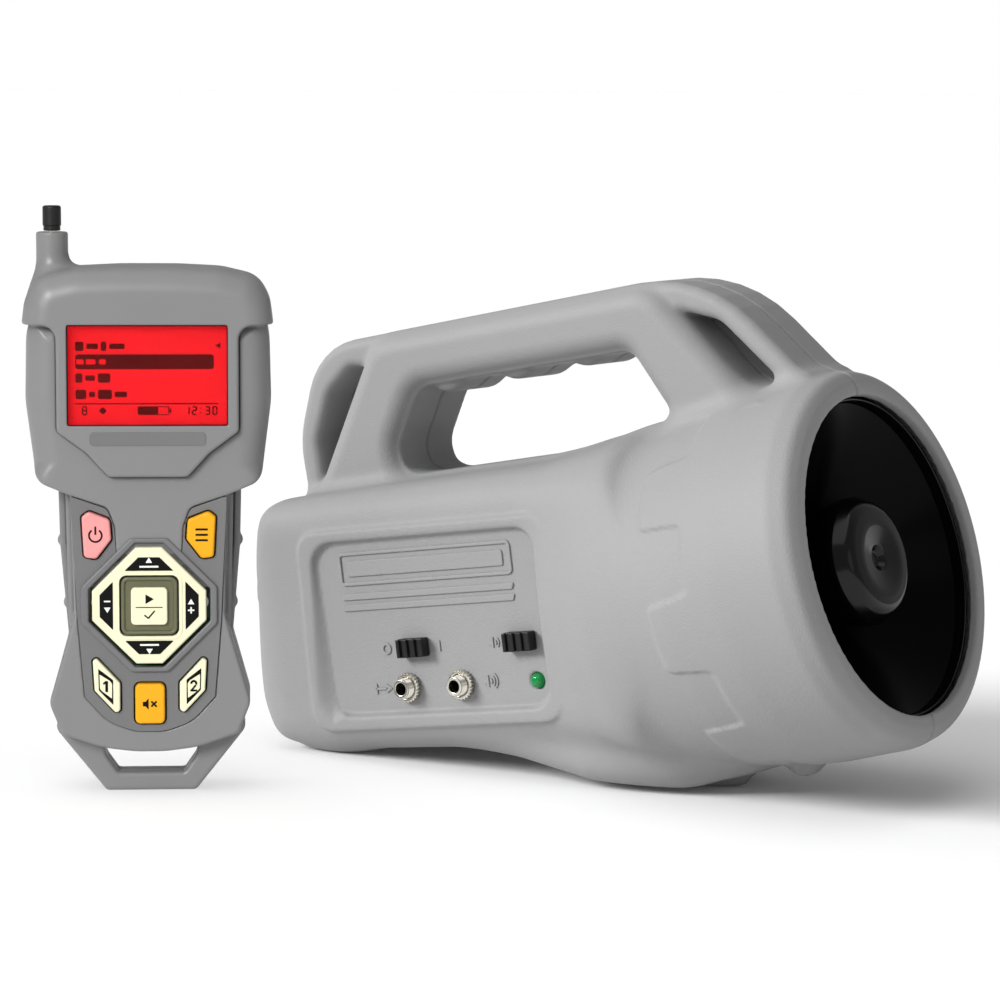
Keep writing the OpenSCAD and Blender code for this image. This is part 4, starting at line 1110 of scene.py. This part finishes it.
def flare(s):
    """The bell's inner radius at a place along its axis."""
    share = (s - FLARE_BACK) / (FLARE_FRONT - FLARE_BACK)
    return THROAT_R + (MOUTH_R - 0.8 - THROAT_R) * share**FLARE_POWER


def build_bell():
    inner = [[flare(s), s] for s in np.linspace(FLARE_BACK, FLARE_FRONT, 40)]
    outer = [[flare(s) + 2, s] for s in np.linspace(FLANGE_BACK, FLARE_BACK, 40)]
    profile = [[8, -14], [10, -14], [10, FLARE_BACK, 0.6], *inner, [FLANGE_R, FLARE_FRONT, 0.3],
               [FLANGE_R, FLANGE_BACK, 0.3], *outer, [28, FLARE_BACK], [28, -49], [8, -49]]
    piece("horn_flare", [turned(profile[::-1], 144)], HORN, "caller", HORN_BLACK, "horn_bell")


def build_reflector():
    """The round centre piece, on three struts."""
    face = [[0, -4.8], [2.2, -4.6, 0.8], [3.7, -2.7, 0.9], [10, -1.6, 10], [15.1, -2.1, 4],
            [REFLECTOR_R + 1.5, -7.4, 4], [REFLECTOR_R + 1.1, -12.5, 6], [15, -20, 6], [13.7, -31, 0.3],
            [12.4, -31], [12.4, -11, 1], [0, -11]]
    strut = slab([box_outline(12.8, -1.2, 18.4, 1.2, 0.4)], -31.5, -29.1, 0.3)
    turns = [Matrix.Rotation(math.radians(a), 4, "Z") @ Matrix.Rotation(QUARTER, 4, "X") for a in (0, 120, 240)]
    shapes = [turned(face[::-1], 96, 8), *(moved(strut, turn) for turn in turns)]
    piece("horn_centre", shapes, HORN, "caller", CENTRE_BLACK, "horn_reflector")


def build_seal():
    """The ring between the bell's flange and the lip, which lines the lip."""
    lining_r = MOUTH_R - 0.02
    seal = turned([[MOUTH_R - 0.9, -4.5, 0.2], [FLANGE_R, -4.5, 0.2], [FLANGE_R, -3.6, 0.3], [lining_r, -3.5],
                   [lining_r, -1.2, 0.2], [MOUTH_R - 0.7, -1.2, 0.3]], 144)
    piece("horn_seal", [seal], HORN, "caller", CENTRE_BLACK, "horn_gasket", slot="black_rubber")


def slider(name, u, w, body, node):
    """A slide switch's knob: a block with four ridges, on a stem that goes through the panel's slot."""
    shapes = [box_slab(u, w, 4.85, 2.75, 0.6, -38.1, -35.5, 0.35, 0.2),
              box_slab(u, w, 1.4, 1.2, 0.2, -35.7, -29, 0.1, 0.2)]
    for k in range(4):
        shapes.append(box_slab(u - 4.125 + k * 2.75, w, 0.625, 2.65, 0.3, -38.9, -37.8, 0.35, 0.05))
    piece(name, shapes, HOUSING, body, MATT_BLACK, node)


def jack(name, u, w, body_node, nut_node):
    """A threaded socket with its block behind the panel, and its fluted nut."""
    thread = []
    for k in range(7):
        y = -39.3 + 0.6 * k
        thread += [[2.72, y, 0.04], [3.0, y + 0.3, 0.04]]
    barrel = turned([[1.8, -39.8, 0.25], [2.7, -39.8, 0.2], *thread, [3.0, -35.0], [3.0, -31.2], [1.8, -31.2]])
    block = slab([box_about(u, w, 4.5, 4.5, 1), circle(u, w, 1.8)], PANEL_BACK, BOARD_Y - 1.5, 0.3)
    end = box_slab(u, w, 4.5, 4.5, 1, BOARD_Y - 1.6, BOARD_Y, 0.05, 0.3)
    place = along_y(u, w)
    piece(name + "_barrel", [moved(barrel, place), block, end], HOUSING, "caller", NICKEL, body_node)
    ring = turned([[3.1, -37.4, 0.25], [3.85, -37.4, 0.2], [4.4, -36.9, 0.15], [4.4, -35.6, 0.2],
                   [4.2, -35.2, 0.1], [3.1, -35.2]], 192, flute=(24, 0.42, 3.9))
    piece(name + "_nut", [moved(ring, place)], HOUSING, "caller", NICKEL, nut_node, sharp=True)


def build_lamp():
    u, w = LAMP_AT
    lens = turned([[0, -36.75, 0], [1.1, -36.55, 1], [1.85, -35.95, 1], [2.2, -34.9, 1], [2.2, -32.1],
                   [2.9, -32], [2.9, -31], [0, -31]], 64, 8)
    leg = turned([[0, -31.2], [0.35, -31.2], [0.35, BOARD_Y], [0, BOARD_Y]], 16)
    shapes = [moved(lens, along_y(u, w)), *(moved(leg, along_y(u + side, w)) for side in (-1.2, 1.2))]
    piece("lamp_lens", shapes, HOUSING, "caller", GREEN_LENS, "status_lamp")


def build_panel_signs():
    """Raised signs and blank nameplates, moulded in the panel."""
    signs = Signs(PANEL_Y, SIGN_HIGH)
    signs.arc(POWER_AT[0] - 10.6, POWER_AT[1], 1.35, 0.6, 0, 359.9, 24)
    signs.bar(POWER_AT[0] + 8.4, POWER_AT[1], 3.1, 0.65, 90)
    signs.speaker(SPEAKER_AT[0] - 10, SPEAKER_AT[1], 2.2)
    signs.waves(SPEAKER_AT[0] - 10, SPEAKER_AT[1], 2.2, 2)
    signs.speaker(EXT_AT[0] + 9.4, EXT_AT[1] + 0.6, 2.4)
    signs.waves(EXT_AT[0] + 9.4, EXT_AT[1] + 0.6, 2.4, 3)
    signs.bar(AUX_AT[0] - 9.8, AUX_AT[1], 4.2, 0.65)
    signs.triangle(AUX_AT[0] - 7.2, AUX_AT[1], 2.6, -90)
    signs.bar(AUX_AT[0] - 11.9, AUX_AT[1], 3.0, 0.6, 90)
    outline = box_outline(-31.5, 12.4, 30, 22.2, 1.6)
    base = PANEL_Y + 0.1
    plates = [slab([outline, grown(outline, -1.0)], base - 0.65, base, 0.3, 0.05),
              slab([box_outline(-28.6, 15.0, 27.1, 19.6, 0.8)], base - 0.6, base, 0.35, 0.05)]
    for w in (5.0, 8.2):
        rib = [[-31.5, w, 0.4], [29.2, w, 0.4], [30, w + 1.9, 0.4], [-30.7, w + 1.9, 0.4]]
        plates.append(slab([rib], base - 0.6, base, 0.3, 0.05))
    piece("panel_signs", signs.shapes + plates, HOUSING, "caller", HOUSING_GREY)


def build_door():
    """The battery door: a ribbed face with a finger notch, on a roll and pin along its lower edge."""
    low, high = BAY[0] + 0.3, BAY[2] - 0.3
    hinge_y, bottom = HINGE_AT
    top = BAY[3] - 0.3
    base = slab([box_outline(low, bottom, high, top, 0.5)], 33.6, 35.7, 0.2, 0.05)
    face = slab([[[low, bottom, 0.5], [high, bottom, 0.5], [high, top, 0.8], [-16, top, 0.4], [-16, 22, 1.8],
                  [-30, 22, 1.8], [-30, top, 0.4], [low, top, 0.8]]], 35.5, 37.0, 0.05, 0.5)
    ribs = [slab([box_outline(-47.5, w, 0.5, w + 1, 0.4)], 36.9, 37.35, 0.02, 0.25) for w in range(-12, 14, 5)]
    roll = turned([[0, low], [2, low, 0.3], [2, high, 0.3], [0, high]], 48)
    pin = turned([[0, BAY[0] - 1.8], [1, BAY[0] - 1.8, 0.2], [1, BAY[2] + 1.8, 0.2], [0, BAY[2] + 1.8]], 32)
    across = Matrix.Translation((0, hinge_y, bottom)) @ Matrix.Rotation(QUARTER, 4, "Y")
    shapes = [base, face, *ribs, moved(roll, across), moved(pin, across)]
    piece("bay_cover", shapes, HOUSING, "bay_door", HOUSING_GREY, "battery_door")


build_bell()
build_reflector()
build_seal()
slider("power_slider", *POWER_AT, "power_knob", "power_switch_knob")
slider("speaker_slider", *SPEAKER_AT, "speaker_knob", "speaker_switch_knob")
jack("aux_jack", *AUX_AT, "aux_jack_body", "aux_jack_nut")
jack("ext_jack", *EXT_AT, "speaker_jack_body", "speaker_jack_nut")
build_lamp()
build_panel_signs()
build_door()


# ------------------------------------------------------------------ floor, lights and camera
WORLD_LIGHT, SKY_LIGHT, KEY_LIGHT, FILL_LIGHT, REMOTE_KEY_LIGHT = 0.34, 0.9, 3.8, 0.8, 3.0
KEY_FROM, REMOTE_KEY_FROM = (-0.7, -0.85, 0.52), (0.2, -1, 0.5)
# everything wholly nearer than this y, in metres, is the remote's
REMOTE_FRONT_OF = -0.055


def ground():
    """A pale floor, round, that runs out past the horizon of every view."""
    mesh = bpy.data.meshes.new("floor")
    turns = np.linspace(0, 2 * math.pi, 64, endpoint=False)
    rim = [(60 * math.cos(a), 60 * math.sin(a), 0) for a in turns]
    mesh.from_pydata(rim, [], [tuple(range(len(rim)))])
    floor = bpy.data.objects.new("floor", mesh)
    bpy.context.scene.collection.objects.link(floor)
    m = bpy.data.materials.new("floor_white")
    m.use_nodes = True
    sockets = m.node_tree.nodes["Principled BSDF"].inputs
    for socket, value in (("Base Color", (0.9, 0.9, 0.9, 1)), ("Roughness", 0.9), ("Specular IOR Level", 0.1),
                          ("Emission Color", (1, 1, 1, 1)), ("Emission Strength", 0.02)):
        sockets[socket].default_value = value
    mesh.materials.append(m)


def lamp(name, kind, energy, place, target=(0, 0, 0)):
    light = bpy.data.lights.new(name, kind)
    light.energy = energy
    thing = bpy.data.objects.new(name, light)
    thing.location = place
    thing.rotation_euler = (Vector(target) - Vector(place)).to_track_quat("-Z", "Y").to_euler()
    bpy.context.scene.collection.objects.link(thing)
    return thing


def sky(name, place, energy, spread):
    """A broad light from far off that falls on the whole floor alike. spread is in degrees."""
    thing = lamp(name, "SUN", energy, place)
    thing.data.angle = math.radians(spread)
    return thing


def remote_group(name, state):
    """Everything of the remote, for a light to leave out or to keep to."""
    group = bpy.data.collections.new(name)
    for thing in bpy.context.scene.objects:
        if thing.type != "MESH":
            continue
        if max((thing.matrix_world @ Vector(c)).y for c in thing.bound_box) < REMOTE_FRONT_OF:
            group.objects.link(thing)
    for entry in group.collection_objects:
        entry.light_linking.link_state = state
    return group


def surroundings():
    """White behind the object, and dimmer as a light on it."""
    world = bpy.data.worlds.new("studio")
    bpy.context.scene.world = world
    world.use_nodes = True
    nodes, links = world.node_tree.nodes, world.node_tree.links
    back = nodes["Background"]
    back.inputs["Color"].default_value = (1, 1, 1, 1)
    seen = nodes.new("ShaderNodeMapRange")
    seen.inputs["To Min"].default_value = WORLD_LIGHT
    seen.inputs["To Max"].default_value = 1.0
    links.new(nodes.new("ShaderNodeLightPath").outputs["Is Camera Ray"], seen.inputs["Value"])
    links.new(seen.outputs["Result"], back.inputs["Strength"])


def lights():
    """A key light for each unit, which leaves the other out, and light from all round for both."""
    sky("overhead", (-0.2, -0.35, 1), SKY_LIGHT, 70)
    bpy.context.view_layer.update()
    caller_link = sky("key", KEY_FROM, KEY_LIGHT, 24).light_linking
    caller_link.receiver_collection = caller_link.blocker_collection = remote_group("not_remote", "EXCLUDE")
    remote_link = sky("remote_key", REMOTE_KEY_FROM, REMOTE_KEY_LIGHT, 24).light_linking
    remote_link.receiver_collection = remote_group("remote_only", "INCLUDE")
    fill = lamp("fill", "AREA", FILL_LIGHT, (1.5, -0.7, 0.6), (-0.02, -0.02, 0.07))
    fill.data.shape = "DISK"
    fill.data.size = 0.9


def camera():
    """The photo's view: its place, the point it looks at, and a slight roll."""
    data = bpy.data.cameras.new("camera")
    data.lens, data.sensor_width = 121.32, 36
    data.clip_start, data.clip_end = 0.05, 200
    eye = bpy.data.objects.new("camera", data)
    eye.location = (0.51419, -0.80708, 0.19779)
    look = Vector((-0.05259, 0.00749, 0.07436)) - eye.location
    roll = Matrix.Rotation(math.radians(0.2935), 3, "Z")
    eye.rotation_euler = (look.to_track_quat("-Z", "Y").to_matrix() @ roll).to_euler()
    bpy.context.scene.collection.objects.link(eye)
    bpy.context.scene.camera = eye


ground()
surroundings()
lights()
camera()
bpy.context.scene.view_settings.view_transform = "Standard"
